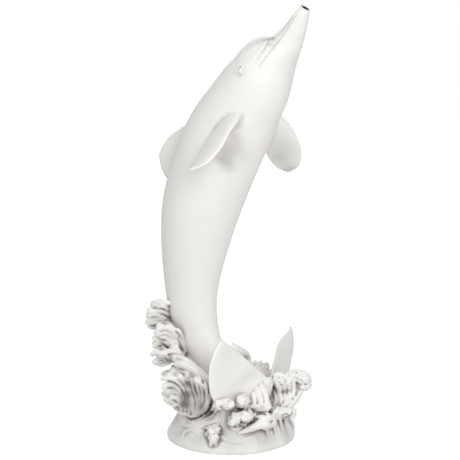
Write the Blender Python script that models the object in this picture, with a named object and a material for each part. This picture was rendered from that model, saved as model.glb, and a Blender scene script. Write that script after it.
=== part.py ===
# Dolphin spitter statue: a leaping dolphin rising from breaking waves on a round plinth, cast hollow in
# one piece, with the water tube that runs from a hose tail at the back of the plinth to the mouth at the
# beak's tip. Metres, +Z up. The dolphin's plane of symmetry is XZ, its belly faces +X, and the origin is
# the middle of the plinth's underside.

import math
import random

import bmesh
import bpy
import numpy as np

# Plinth and the swell of water that the tail rises from
PLINTH_RADIUS = 0.127
PLINTH_FOOT_HEIGHT = 0.007
PLINTH_SHOULDER_RADIUS = 0.104
PLINTH_SHOULDER_HEIGHT = 0.048
SWELL_FOOT_RADIUS = 0.094
SWELL_FOOT_HEIGHT = 0.064
SWELL_TOP_RADIUS = 0.046
SWELL_TOP_HEIGHT = 0.124
SWELL_SHIFT = -0.012
SWELL_BULGE = 0.012
PLINTH_BULGE = 0.002
FLUTE_COUNT = 15
FLUTE_DEPTH = 0.004
HOLLOW_TURN = math.radians(-108)
HOLLOW_SPREAD = math.radians(30)
HOLLOW_DEPTH = 0.030

# Dolphin: stations from the tail stock, which curls under the body, to the beak's tip. Each row is the
# centre's x and z, then the depth from the centre to the back, the depth to the belly, and half the width.
BODY_STATIONS = (
    (0.088, 0.122, 0.006, 0.006, 0.010),
    (0.080, 0.098, 0.011, 0.011, 0.014),
    (0.058, 0.076, 0.017, 0.017, 0.017),
    (0.020, 0.074, 0.023, 0.023, 0.020),
    (-0.018, 0.098, 0.029, 0.029, 0.024),
    (-0.047, 0.140, 0.036, 0.036, 0.028),
    (-0.076, 0.188, 0.044, 0.044, 0.034),
    (-0.093, 0.243, 0.051, 0.051, 0.041),
    (-0.096, 0.302, 0.058, 0.058, 0.049),
    (-0.087, 0.382, 0.070, 0.070, 0.064),
    (-0.071, 0.454, 0.078, 0.078, 0.076),
    (-0.045, 0.522, 0.081, 0.081, 0.079),
    (-0.016, 0.584, 0.082, 0.082, 0.080),
    (0.014, 0.628, 0.079, 0.077, 0.076),
    (0.036, 0.663, 0.072, 0.071, 0.071),
    (0.060, 0.700, 0.065, 0.068, 0.065),
    (0.081, 0.727, 0.050, 0.057, 0.057),
    (0.101, 0.750, 0.036, 0.044, 0.045),
    (0.117, 0.768, 0.028, 0.036, 0.034),
    (0.126, 0.778, 0.024, 0.032, 0.027),
    (0.137, 0.793, 0.020, 0.026, 0.021),
    (0.149, 0.813, 0.0155, 0.0200, 0.016),
    (0.159, 0.830, 0.0115, 0.0135, 0.012),
    (0.1645, 0.839, 0.0090, 0.0092, 0.0095),
)
HEAD_STATION = 15
TAIL_CORE_STATION = 5

# Forehead: an egg that rises over the root of the beak
MELON_CENTRE = (0.070, 0.733)
MELON_LENGTH = 0.059
MELON_DEPTH = 0.048
MELON_WIDTH = 0.050
MELON_TILT = math.radians(50)
MELON_CREASE = 0.004
MELON_NEAR = 1.5

# Mouth: a groove along each side of the beak, in one plane from the corners to the tip
MOUTH_CORNER = (0.097, 0.733)
MOUTH_SLOPE = math.radians(60)
MOUTH_DEPTH = 0.0018
MOUTH_WIDTH = 0.0030
MOUTH_FADE = 0.012
MOUTH_STATION = 15.5
MOUTH_MOST_SHARE = 0.6

EYE_CENTRE = (0.064, 0.725)
EYE_SPAN = 0.0575
EYE_LENGTH = 0.0098
EYE_HEIGHT = 0.0072
EYE_BULGE = 0.0050
EYE_BALL_SHARE = 0.8
LID_THICKNESS = 0.0016
LID_FLARE = 2.0

# Fins. Each row is a chord: its leading end, its trailing end and the thickness there.
FIN_CHORDS = (
    ((-0.074, 0.0, 0.606), (-0.108, 0.0, 0.482), 0.030),
    ((-0.098, 0.0, 0.613), (-0.138, 0.0, 0.486), 0.021),
    ((-0.124, 0.0, 0.601), (-0.152, 0.0, 0.496), 0.015),
    ((-0.150, 0.0, 0.583), (-0.164, 0.0, 0.511), 0.011),
    ((-0.166, 0.0, 0.563), (-0.171, 0.0, 0.527), 0.008),
    ((-0.173, 0.0, 0.549), (-0.1735, 0.0, 0.540), 0.004),
)
FLIPPER_CHORDS = (
    ((0.040, -0.038, 0.646), (0.006, -0.046, 0.602), 0.034),
    ((0.064, -0.062, 0.642), (0.012, -0.072, 0.596), 0.025),
    ((0.073, -0.084, 0.629), (0.012, -0.092, 0.585), 0.018),
    ((0.077, -0.112, 0.606), (0.012, -0.112, 0.564), 0.014),
    ((0.071, -0.138, 0.578), (0.014, -0.131, 0.547), 0.011),
    ((0.056, -0.158, 0.550), (0.020, -0.150, 0.535), 0.008),
    ((0.036, -0.170, 0.533), (0.028, -0.167, 0.529), 0.004),
)
FLUKE_CHORDS = (
    ((0.058, 0.006, 0.066), (0.090, 0.006, 0.120), 0.022),
    ((0.052, -0.047, 0.066), (0.086, -0.014, 0.136), 0.018),
    ((0.048, -0.098, 0.078), (0.082, -0.030, 0.150), 0.015),
    ((0.046, -0.130, 0.103), (0.077, -0.047, 0.165), 0.013),
    ((0.046, -0.143, 0.137), (0.071, -0.065, 0.179), 0.011),
    ((0.049, -0.145, 0.170), (0.065, -0.086, 0.193), 0.009),
    ((0.052, -0.135, 0.197), (0.058, -0.107, 0.206), 0.007),
    ((0.053, -0.124, 0.212), (0.055, -0.117, 0.214), 0.004),
)
FLIPPER_ROLL = math.radians(6.5)
FLUKE_ROLL = math.radians(5.5)
FLIPPER_HINGE_HEIGHT = 0.620
FLUKE_HINGE_HEIGHT = 0.095

# Hollow inside the casting, and its core hole in the underside
WALL = 0.009
CORE_HOLE_RADIUS = 0.024
CORE_SHAFT_HEIGHTS = (-0.006, 0.05, 0.10)

# Water tube and hose tail
TUBE_RADIUS = 0.00635
TUBE_BORE_RADIUS = 0.0046
TUBE_CLEARANCE = 0.0003
CHANNEL_POINTS = 10
TUBE_STRAIGHT = 0.02
TUBE_RISE_HEIGHTS = (0.075, 0.11)
INLET_HEIGHT = 0.022
INLET_BOSS_RADIUS = 0.016
INLET_BOSS_ROOT = 0.06
INLET_BOSS_REACH = 0.118
INLET_CUT_REACH = 0.168
INLET_BEND_RADIUS = 0.030
SPIGOT_RADIUS = 0.0080
SPIGOT_LENGTH = 0.030
FLANGE_RADIUS = 0.0125
FLANGE_THICKNESS = 0.003
FLANGE_CLEARANCE = 0.0005
BARB_RADIUS = 0.0072
BARB_ROOT_RADIUS = 0.0060
BARB_COUNT = 4
BARB_PITCH = 0.006
BARB_STEEP_SHARE = 0.1
NIPPLE_LENGTH = 0.012
HOSE_BORE_RADIUS = 0.0034
SEAT_GAP = 0.0003

# Breaking waves: hinge point, the way the fan reaches, the way its lip curls, length, spread and curl in
# degrees, how many ribs it has, and how long its first and last rib are next to the middle ones.
FANS = (
    ((-0.024, -0.082, 0.048), (-0.13, -0.09, 0.99), (0.38, -0.92, -0.05), 0.113, 109, 54, 9, 0.45, 0.36),
    ((-0.132, -0.006, 0.214), (-0.64, -0.48, 0.60), (0.38, -0.89, -0.24), 0.064, 120, 45, 7, 0.80, 0.70),
    ((-0.088, -0.018, 0.158), (-0.62, -0.37, 0.70), (0.34, -0.92, -0.20), 0.086, 74, 40, 6, 0.70, 0.70),
    ((-0.086, -0.030, 0.150), (-0.78, -0.53, 0.33), (0.27, -0.73, -0.62), 0.066, 76, 55, 5, 0.70, 0.60),
    ((0.116, -0.028, 0.077), (-0.68, -0.41, 0.61), (-0.70, 0.65, -0.30), 0.076, 84, 62, 5, 0.80, 0.70),
    ((0.102, 0.012, 0.034), (0.04, 0.05, 1.00), (-0.24, 0.93, -0.30), 0.110, 70, 60, 7, 0.85, 0.55),
    ((0.104, -0.048, 0.040), (0.01, 0.07, 1.00), (-0.47, 0.86, -0.20), 0.036, 150, 60, 5, 0.80, 0.80),
    ((-0.080, 0.006, 0.072), (-0.30, 0.26, 0.92), (-1.00, 0.00, -0.10), 0.160, 54, 42, 7, 0.75, 0.80),
    ((-0.118, 0.014, 0.196), (-0.52, 0.55, 0.65), (0.20, 0.92, -0.30), 0.060, 104, 50, 7, 0.80, 0.70),
    ((-0.086, 0.034, 0.112), (-0.64, 0.42, 0.64), (0.10, 0.94, -0.30), 0.082, 110, 58, 7, 0.70, 0.60),
    ((-0.012, 0.080, 0.056), (-0.10, 0.20, 0.97), (0.20, 0.97, -0.10), 0.078, 120, 58, 7, 0.60, 0.60),
)
FAN_ROOT_THICKNESS = 0.022
FAN_LIP_THICKNESS = 0.007
FAN_END_SHARE = 0.3
FAN_ROOT_OFFSET = 0.006
RIB_DEPTH = 0.0040
SCALLOP = 0.09

# Rolls of foam: each a row of places and radii
ROLLS = (
    (
        (-0.105, -0.061, 0.158, 0.0080),
        (-0.076, -0.064, 0.151, 0.0140),
        (-0.051, -0.064, 0.140, 0.0145),
        (-0.027, -0.060, 0.128, 0.0120),
        (-0.003, -0.052, 0.116, 0.0070),
    ),
    (
        (0.119, -0.036, 0.067, 0.0060),
        (0.108, -0.047, 0.060, 0.0110),
        (0.093, -0.063, 0.047, 0.0080),
        (0.071, -0.080, 0.036, 0.0050),
    ),
    (
        (-0.034, 0.047, 0.153, 0.0105),
        (-0.009, 0.059, 0.141, 0.0095),
        (0.004, 0.062, 0.118, 0.0070),
        (0.022, 0.066, 0.110, 0.0145),
        (0.048, 0.072, 0.094, 0.0170),
    ),
    (
        (-0.060, 0.000, 0.060, 0.0480),
        (-0.086, 0.000, 0.120, 0.0390),
        (-0.114, 0.000, 0.178, 0.0270),
        (-0.132, 0.000, 0.222, 0.0140),
    ),
)
ROLL_LOBES = 2
ROLL_SWELL = 0.16

# Foam: clumps of bubbles, each a place and a radius
CLUMPS = (
    (0.049, -0.113, 0.098, 0.0090),
    (0.060, -0.103, 0.100, 0.0110),
    (0.074, -0.069, 0.099, 0.0145),
    (0.063, -0.080, 0.062, 0.0135),
    (0.081, -0.064, 0.070, 0.0155),
    (0.033, -0.105, 0.042, 0.0135),
    (0.038, -0.110, 0.027, 0.0115),
    (0.098, 0.024, 0.121, 0.0170),
    (0.112, 0.038, 0.122, 0.0150),
    (0.129, 0.054, 0.125, 0.0165),
    (0.136, 0.060, 0.111, 0.0135),
    (-0.074, -0.056, 0.130, 0.0170),
    (0.108, -0.006, 0.064, 0.0140),
    (0.116, 0.016, 0.066, 0.0135),
    (0.116, 0.036, 0.054, 0.0130),
    (0.068, 0.078, 0.088, 0.0180),
    (0.082, 0.074, 0.066, 0.0170),
    (-0.056, 0.080, 0.068, 0.0170),
)
BUBBLES_PER_CLUMP = 9
BUBBLE_LEAST_SHARE = 0.41
BUBBLE_MOST_SHARE = 0.605
BUBBLE_SINK = 0.55
CLUMP_HEART_SHARE = 0.85
FOAM_SEED = 7

# How finely the forms are drawn
TRUNK_RINGS = 15
HEAD_RINGS = 15
BELLY_SIDES = 5
BACK_SIDES = 5
BLADE_SIDES = 10
BLADE_STEPS = 2
FAN_RIB_STEPS = 2
FAN_STEP_LENGTH = 0.030
ROLL_STEPS = 2
ROLL_SIDES = 6
PLINTH_SIDES = 45
TUBE_SIDES = 8
BEND_STEPS = 4
CORE_SIDES = 12
LID_TURNS = 10
LID_SIDES = 4
SHARP_ANGLE = math.radians(50)

COLOUR_CASTING = (0.86, 0.85, 0.82, 1.0)
COLOUR_TUBE = (0.02, 0.02, 0.02, 1.0)
COLOUR_HOSE_TAIL = (0.04, 0.04, 0.045, 1.0)


def unit(vector):
    """The vector at length one."""
    return vector / np.linalg.norm(vector)


def curve_point(rows, place):
    """A point on the smooth curve through rows, where place counts rows from 0."""
    rows = np.asarray(rows, float)
    last = len(rows) - 1
    first = min(int(place), last - 1)
    t = place - first
    a = rows[max(first - 1, 0)]
    b = rows[first]
    c = rows[first + 1]
    d = rows[min(first + 2, last)]
    return 0.5 * (2 * b + (c - a) * t + (2 * a - 5 * b + 4 * c - d) * t**2 + (3 * b - a - 3 * c + d) * t**3)


def body_frame(place, stations=BODY_STATIONS):
    """The centre, the direction of the back and the three half sizes of the body's section at a place."""
    step = 0.01
    last = len(stations) - 1
    row = curve_point(stations, place)
    before = curve_point(stations, max(place - step, 0))
    after = curve_point(stations, min(place + step, last))
    forward = unit(after[:2] - before[:2])
    back = np.array((-forward[1], 0, forward[0]))
    return np.array((row[0], 0, row[1])), back, row[2:]


def melon_reach(centre, ray):
    """How far the ray from centre reaches to the far side of the forehead, or 0 where it misses."""
    along = np.array((math.cos(MELON_TILT), 0, math.sin(MELON_TILT)))
    up = np.array((-along[2], 0, along[0]))
    axes = np.array((along / MELON_LENGTH, up / MELON_DEPTH, (0, 1 / MELON_WIDTH, 0)))
    start = axes @ (centre - np.array((MELON_CENTRE[0], 0, MELON_CENTRE[1])))
    way = axes @ ray
    a, b, c = way @ way, start @ way, start @ start - 1
    under = b * b - a * c
    return (math.sqrt(under) - b) / a if under > 0 and c < MELON_NEAR else 0.0


def body_radius(centre, back, sizes, angle, inset=0.0):
    """The body's radius at an angle from the side towards the back, over the section and the forehead."""
    ray = np.array((0, math.cos(angle), 0)) + back * math.sin(angle)
    depth = (sizes[0] if math.sin(angle) > 0 else sizes[1]) - inset
    width = sizes[2] - inset
    section = 1 / math.hypot(math.cos(angle) / width, math.sin(angle) / depth)
    melon = melon_reach(centre, ray) - inset
    blend = max(MELON_CREASE - abs(section - melon), 0) / MELON_CREASE
    return max(section, melon) + blend**2 * MELON_CREASE / 4


def mouth_line(place):
    """How high the mouth's plane meets the section, as a share of its depth, and the groove's depth."""
    centre, back, sizes = body_frame(max(place, MOUTH_STATION))
    slope = np.array((math.cos(MOUTH_SLOPE), 0, math.sin(MOUTH_SLOPE)))
    across = np.array((-slope[2], 0, slope[0]))
    corner = np.array((MOUTH_CORNER[0], 0, MOUTH_CORNER[1]))
    height = ((corner - centre) @ across) / (back @ across)
    share = height / (sizes[0] if height > 0 else sizes[1])
    past_corner = (centre + back * height - corner) @ slope
    fade = max(0.0, min(1.0, past_corner / MOUTH_FADE)) if place > MOUTH_STATION else 0.0
    return max(-MOUTH_MOST_SHARE, min(MOUTH_MOST_SHARE, share)), MOUTH_DEPTH * fade


def body_ring(place):
    """One ring of points round the body, with a V groove at each side of the mouth."""
    centre, back, sizes = body_frame(place)
    share, groove = mouth_line(place)
    depth = sizes[0] if share > 0 else sizes[1]
    mouth = math.atan2(share * depth, sizes[2] * math.sqrt(1 - share**2))
    lip = MOUTH_WIDTH / 2 / sizes[2]
    quarter = math.pi / 2
    belly = [-quarter + (mouth - lip + quarter) * i / BELLY_SIDES for i in range(BELLY_SIDES + 1)]
    top = [mouth + lip + (quarter - mouth - lip) * i / BACK_SIDES for i in range(BACK_SIDES + 1)]
    half = [(angle, 0.0) for angle in belly] + [(mouth, groove)] + [(angle, 0.0) for angle in top]
    right = [(angle, cut, -1) for angle, cut in half]
    left = [(angle, cut, 1) for angle, cut in reversed(half[1:-1])]
    ring = []
    for angle, cut, side in right + left:
        radius = body_radius(centre, back, sizes, angle) - cut
        sideways = np.array((0, side * radius * math.cos(angle), 0))
        ring.append(centre + sideways + back * radius * math.sin(angle))
    return ring


def loft(rings):
    """A closed mesh through rings of equal counts, with flat ends."""
    shape = bmesh.new()
    rows = [[shape.verts.new(point) for point in ring] for ring in rings]
    count = len(rows[0])
    for lower, upper in zip(rows, rows[1:]):
        for i in range(count):
            j = (i + 1) % count
            shape.faces.new((lower[i], lower[j], upper[j], upper[i]))
    shape.faces.new(rows[0][::-1])
    shape.faces.new(rows[-1])
    return shape


def as_object(name, shape, material=None):
    """The bmesh as an object with its faces pointing out."""
    bmesh.ops.recalc_face_normals(shape, faces=shape.faces)
    mesh = bpy.data.meshes.new(name)
    shape.to_mesh(mesh)
    shape.free()
    mesh.shade_smooth()
    mesh.set_sharp_from_angle(angle=SHARP_ANGLE)
    made = bpy.data.objects.new(name, mesh)
    bpy.context.scene.collection.objects.link(made)
    if material is not None:
        mesh.materials.append(material)
    return made


def as_helper(name, shape, collection):
    """An object that only shapes the casting: it isn't rendered and isn't a part."""
    made = as_object(name, shape)
    bpy.context.scene.collection.objects.unlink(made)
    collection.objects.link(made)
    made.hide_render = True
    made.display_type = "WIRE"
    return made


def finish(name, colour, roughness):
    """A plain material."""
    made = bpy.data.materials.new(name)
    made.use_nodes = True
    shader = made.node_tree.nodes["Principled BSDF"]
    shader.inputs["Base Color"].default_value = colour
    shader.inputs["Roughness"].default_value = roughness
    shader.inputs["Metallic"].default_value = 0.0
    return made


def body_form():
    """The dolphin's body, head and beak."""
    trunk = np.linspace(0, HEAD_STATION, TRUNK_RINGS, endpoint=False)
    head = np.linspace(HEAD_STATION, len(BODY_STATIONS) - 1, HEAD_RINGS)
    return loft([body_ring(place) for place in (*trunk, *head)])


def core_form():
    """The hollow: the body's own form less the wall, and a straight shaft down to the core hole."""
    foot = BODY_STATIONS[TAIL_CORE_STATION][0]
    hole = CORE_HOLE_RADIUS
    stations = [(foot, height, hole, hole, hole) for height in CORE_SHAFT_HEIGHTS]
    for x, z, back, belly, side in BODY_STATIONS[TAIL_CORE_STATION + 1 : HEAD_STATION + 2]:
        stations.append((x, z, back - WALL, belly - WALL, side - WALL))
    rings = []
    for i in range(len(stations)):
        centre, back, sizes = body_frame(i, stations)
        ring = []
        for k in range(CORE_SIDES):
            angle = 2 * math.pi * k / CORE_SIDES
            depth = sizes[0] if math.sin(angle) > 0 else sizes[1]
            radius = 1 / math.hypot(math.cos(angle) / sizes[2], math.sin(angle) / depth)
            sideways = np.array((0, radius * math.cos(angle), 0))
            ring.append(centre + sideways + back * radius * math.sin(angle))
        rings.append(ring)
    return loft(rings)


def blade_form(chords, side=1, roll=0.0, hinge_height=0.0):
    """A fin: ellipses through its chords. side -1 mirrors it, and roll turns it about the hinge."""
    rows = []
    for lead, trail, thickness in chords:
        rows.append((lead[0], side * lead[1], lead[2], trail[0], side * trail[1], trail[2], thickness))
    rows = [curve_point(rows, i / BLADE_STEPS) for i in range((len(rows) - 1) * BLADE_STEPS + 1)]
    centres = [(row[:3] + row[3:6]) / 2 for row in rows]
    turn = np.array(((1, 0, 0), (0, math.cos(roll), math.sin(roll)), (0, -math.sin(roll), math.cos(roll))))
    hinge = np.array((0, 0, hinge_height))
    rings = []
    for i, row in enumerate(rows):
        path = centres[min(i + 1, len(rows) - 1)] - centres[max(i - 1, 0)]
        chord = (row[:3] - row[3:6]) / 2
        face = unit(np.cross(chord, path))
        ring = []
        for k in range(BLADE_SIDES):
            angle = 2 * math.pi * k / BLADE_SIDES
            point = centres[i] + chord * math.cos(angle) + face * row[6] / 2 * math.sin(angle)
            ring.append(hinge + turn @ (point - hinge))
        rings.append(ring)
    return loft(rings)


def plinth_form():
    """The plinth and the fluted swell above it, turned, with a hollow where the great wave breaks."""
    slope_radius = (PLINTH_RADIUS + PLINTH_SHOULDER_RADIUS) / 2 + PLINTH_BULGE
    bulge_radius = (SWELL_FOOT_RADIUS + SWELL_TOP_RADIUS) / 2 + SWELL_BULGE
    bulge_height = (SWELL_FOOT_HEIGHT + SWELL_TOP_HEIGHT) / 2
    # Each row is a radius, a height, the shift along x, and the shares of the flutes and the hollow
    profile = (
        (PLINTH_RADIUS, 0.0, 0.0, 0.0, 0.0),
        (PLINTH_RADIUS, PLINTH_FOOT_HEIGHT, 0.0, 0.0, 0.0),
        (slope_radius, PLINTH_SHOULDER_HEIGHT / 2, 0.0, 0.2, 0.0),
        (PLINTH_SHOULDER_RADIUS, PLINTH_SHOULDER_HEIGHT, 0.0, 0.6, 0.1),
        (SWELL_FOOT_RADIUS, SWELL_FOOT_HEIGHT, 0.0, 1.0, 0.8),
        (bulge_radius, bulge_height, SWELL_SHIFT / 2, 1.0, 1.0),
        (SWELL_TOP_RADIUS, SWELL_TOP_HEIGHT, SWELL_SHIFT, 0.5, 0.3),
    )
    rings = []
    for radius, height, shift, fluting, hollow in profile:
        ring = []
        for k in range(PLINTH_SIDES):
            angle = 2 * math.pi * k / PLINTH_SIDES
            off = math.remainder(angle - HOLLOW_TURN, 2 * math.pi) / HOLLOW_SPREAD
            reach = radius - FLUTE_DEPTH * fluting * (1 - math.cos(FLUTE_COUNT * angle)) / 2
            reach -= HOLLOW_DEPTH * hollow * math.exp(-(off**2))
            ring.append((shift + reach * math.cos(angle), reach * math.sin(angle), height))
        rings.append(ring)
    return loft(rings)


def roll_form(rows):
    """A roll of foam: a tube through its places that swells into lobes."""
    count = (len(rows) - 1) * ROLL_STEPS
    places = [curve_point(rows, i / ROLL_STEPS) for i in range(count + 1)]
    lobes = [1 + ROLL_SWELL * math.cos(2 * math.pi * ROLL_LOBES * i / count) for i in range(count + 1)]
    radii = [row[3] * lobe for row, lobe in zip(places, lobes)]
    route = [row[:3] for row in places]
    route = [2 * route[0] - route[1], *route, 2 * route[-1] - route[-2]]
    return loft(sweep_rings(route, [radii[0] / 2, *radii, radii[-1] / 2], ROLL_SIDES))


def fan_form(hinge, reach_way, curl_way, length, spread, curl, ribs, first_end, last_end):
    """A breaking crest: a ribbed shell that fans out from its hinge and curls over at a scalloped lip."""
    hinge = np.array(hinge)
    reach_way = unit(np.array(reach_way, float))
    curl_way = np.array(curl_way, float)
    curl_way = unit(curl_way - reach_way * (curl_way @ reach_way))
    across = np.cross(curl_way, reach_way)
    spread, curl = math.radians(spread), math.radians(curl)
    columns = ribs * FAN_RIB_STEPS
    steps = max(2, math.ceil(length / FAN_STEP_LENGTH))
    shape = bmesh.new()
    front, rear = [], []
    for i in range(columns + 1):
        share = i / columns
        angle = (share - 0.5) * spread
        rib = math.cos(2 * math.pi * ribs * share)
        ease = math.sin(math.pi / 2 * min(1, share / FAN_END_SHARE, (1 - share) / FAN_END_SHARE))
        end = first_end if share < 0.5 else last_end
        reach = length * (end + (1 - end) * ease) * (1 - SCALLOP * (1 + rib) / 2)
        ray = reach_way * math.cos(angle) + across * math.sin(angle)
        for sheet, side in ((front, 1), (rear, -1)):
            column = []
            for j in range(steps + 1):
                v = j / steps
                out = reach * math.sin(curl * v) / curl + FAN_ROOT_OFFSET
                over = reach * (1 - math.cos(curl * v)) / curl
                face = curl_way * math.cos(curl * v) - ray * math.sin(curl * v)
                thick = FAN_ROOT_THICKNESS + (FAN_LIP_THICKNESS - FAN_ROOT_THICKNESS) * v
                thick = thick * (0.5 + 0.5 * ease) / 2 + side * RIB_DEPTH * (1 - rib) / 2 * min(1, 2 * v)
                column.append(shape.verts.new(hinge + ray * out + curl_way * over + face * side * thick))
            sheet.append(column)
    for i in range(columns):
        for j in range(steps):
            shape.faces.new((front[i][j], front[i + 1][j], front[i + 1][j + 1], front[i][j + 1]))
            shape.faces.new((rear[i][j], rear[i][j + 1], rear[i + 1][j + 1], rear[i + 1][j]))
        shape.faces.new((front[i][0], rear[i][0], rear[i + 1][0], front[i + 1][0]))
        shape.faces.new((front[i][-1], front[i + 1][-1], rear[i + 1][-1], rear[i][-1]))
    for column in (0, columns):
        for j in range(steps):
            shape.faces.new((front[column][j], front[column][j + 1], rear[column][j + 1], rear[column][j]))
    return shape


def clump_form(x, y, z, radius, seed):
    """A clump of foam: the outline of a ball with smaller bubbles pushed out of it."""
    chance = random.Random(FOAM_SEED + seed)
    bubbles = []
    for _ in range(BUBBLES_PER_CLUMP):
        way = unit(np.array([chance.gauss(0, 1) for _ in range(3)]))
        size = radius * chance.uniform(BUBBLE_LEAST_SHARE, BUBBLE_MOST_SHARE)
        bubbles.append((way * (radius - size * BUBBLE_SINK), size))
    shape = bmesh.new()
    bmesh.ops.create_icosphere(shape, subdivisions=2, radius=1)
    for vertex in shape.verts:
        ray = unit(np.array(vertex.co))
        reach = radius * CLUMP_HEART_SHARE
        for middle, size in bubbles:
            along = middle @ ray
            under = size**2 - (middle @ middle - along**2)
            if under > 0:
                reach = max(reach, along + math.sqrt(under))
        vertex.co = np.array((x, y, z)) + ray * reach
    return shape


def tube_route():
    """The middle line of the water tube, from the hose tail in the plinth to the beak's tip."""
    foot = BODY_STATIONS[TAIL_CORE_STATION][0]
    start = INLET_BOSS_REACH - SPIGOT_LENGTH - SEAT_GAP
    route = [np.array((foot, y, INLET_HEIGHT)) for y in (start, start - TUBE_STRAIGHT)]
    for i in range(BEND_STEPS + 1):
        angle = math.pi / 2 * i / BEND_STEPS
        y = INLET_BEND_RADIUS * (1 - math.sin(angle))
        z = INLET_HEIGHT + INLET_BEND_RADIUS * (1 - math.cos(angle))
        route.append(np.array((foot, y, z)))
    route += [np.array((foot, 0, z)) for z in TUBE_RISE_HEIGHTS]
    route += [np.array((row[0], 0, row[1])) for row in BODY_STATIONS[TAIL_CORE_STATION + 1 :]]
    return route


def sweep_rings(route, radii, sides):
    """Rings of a tube along the route, without twist. The radii are one number, or one for each place."""
    radii = np.broadcast_to(radii, len(route))
    side = np.array((1.0, 0, 0))
    rings = []
    for i, centre in enumerate(route):
        way = unit(route[min(i + 1, len(route) - 1)] - route[max(i - 1, 0)])
        side = unit(side - way * (side @ way))
        up = np.cross(way, side)
        ring = []
        for k in range(sides):
            angle = 2 * math.pi * (k + 0.5) / sides
            ring.append(centre + (side * math.cos(angle) + up * math.sin(angle)) * radii[i])
        rings.append(ring)
    return rings


def pipe_form(outer, inner):
    """A pipe, open at both ends, from the rings of its outer skin and those of its inner one."""
    shape = bmesh.new()
    skins = [[[shape.verts.new(point) for point in ring] for ring in rings] for rings in (outer, inner)]
    count = len(outer[0])
    for i in range(count):
        j = (i + 1) % count
        for skin in skins:
            for lower, upper in zip(skin, skin[1:]):
                shape.faces.new((lower[i], lower[j], upper[j], upper[i]))
        for end in (0, -1):
            shape.faces.new((skins[0][end][i], skins[0][end][j], skins[1][end][j], skins[1][end][i]))
    return shape


def ring_at(radius, y):
    """A ring of the hose tail, square to its axis."""
    foot = BODY_STATIONS[TAIL_CORE_STATION][0]
    turns = [2 * math.pi * (k + 0.5) / TUBE_SIDES for k in range(TUBE_SIDES)]
    return [(foot + radius * math.cos(a), y, INLET_HEIGHT + radius * math.sin(a)) for a in turns]


def cylinder_form(radius, start, end):
    """A plain cylinder on the inlet's axis."""
    return loft([ring_at(radius, start), ring_at(radius, end)])


def hose_tail_form():
    """The barbed fitting: a nipple in the tube, a spigot in the plinth, a flange and the barbs."""
    seat = INLET_BOSS_REACH + SEAT_GAP
    inner_end = INLET_BOSS_REACH - SPIGOT_LENGTH
    nipple = TUBE_BORE_RADIUS - TUBE_CLEARANCE
    profile = [
        (nipple, inner_end - NIPPLE_LENGTH),
        (nipple, inner_end),
        (SPIGOT_RADIUS, inner_end),
        (SPIGOT_RADIUS, seat),
        (FLANGE_RADIUS, seat),
        (FLANGE_RADIUS, seat + FLANGE_THICKNESS),
        (BARB_ROOT_RADIUS, seat + FLANGE_THICKNESS),
    ]
    start = seat + FLANGE_THICKNESS + BARB_PITCH / 2
    for i in range(BARB_COUNT):
        barb = start + i * BARB_PITCH
        profile.append((BARB_ROOT_RADIUS, barb))
        profile.append((BARB_RADIUS, barb + BARB_PITCH * BARB_STEEP_SHARE))
        profile.append((BARB_ROOT_RADIUS, barb + BARB_PITCH * (1 - BARB_STEEP_SHARE)))
    outer = [ring_at(radius, y) for radius, y in profile]
    inner = [ring_at(HOSE_BORE_RADIUS, y) for y in (profile[0][1], profile[-1][1])]
    return pipe_form(outer, inner)


def eye_forms():
    """For each side, the eyeball and the raised lid round it."""
    along = np.array((math.cos(MELON_TILT), 0, math.sin(MELON_TILT)))
    up = np.array((-along[2], 0, along[0]))
    length, height, bulge = (size * EYE_BALL_SHARE for size in (EYE_LENGTH, EYE_HEIGHT, EYE_BULGE))
    forms = []
    for side in (-1, 1):
        out = np.array((0.0, side, 0.0))
        centre = np.array((EYE_CENTRE[0], side * EYE_SPAN, EYE_CENTRE[1]))
        ball = bmesh.new()
        bmesh.ops.create_icosphere(ball, subdivisions=2, radius=1)
        for vertex in ball.verts:
            a, b, c = vertex.co
            vertex.co = centre + along * a * length + up * b * height + out * c * bulge * 2
        rings = []
        for i in range(LID_TURNS):
            angle = 2 * math.pi * i / LID_TURNS
            middle = centre + out * bulge
            middle = middle + along * EYE_LENGTH * math.cos(angle) + up * EYE_HEIGHT * math.sin(angle)
            away = unit(along * math.cos(angle) + up * math.sin(angle))
            ring = []
            for k in range(LID_SIDES):
                turn = 2 * math.pi * k / LID_SIDES
                rim = away * math.cos(turn) + out * LID_FLARE * math.sin(turn)
                ring.append(middle + rim * LID_THICKNESS)
            rings.append(ring)
        lid = bmesh.new()
        rows = [[lid.verts.new(point) for point in ring] for ring in rings]
        for i in range(LID_TURNS):
            for k in range(LID_SIDES):
                m = (k + 1) % LID_SIDES
                lid.faces.new((rows[i - 1][k], rows[i - 1][m], rows[i][m], rows[i][k]))
        forms += [ball, lid]
    return forms


def join(target, helpers, operation):
    """Adds or cuts every helper in one exact Boolean."""
    modifier = target.modifiers.new(operation.lower(), "BOOLEAN")
    modifier.operation = operation
    modifier.operand_type = "COLLECTION"
    modifier.collection = helpers
    modifier.solver = "EXACT"


def new_collection(name):
    """An empty collection in the scene."""
    made = bpy.data.collections.new(name)
    bpy.context.scene.collection.children.link(made)
    return made


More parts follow.
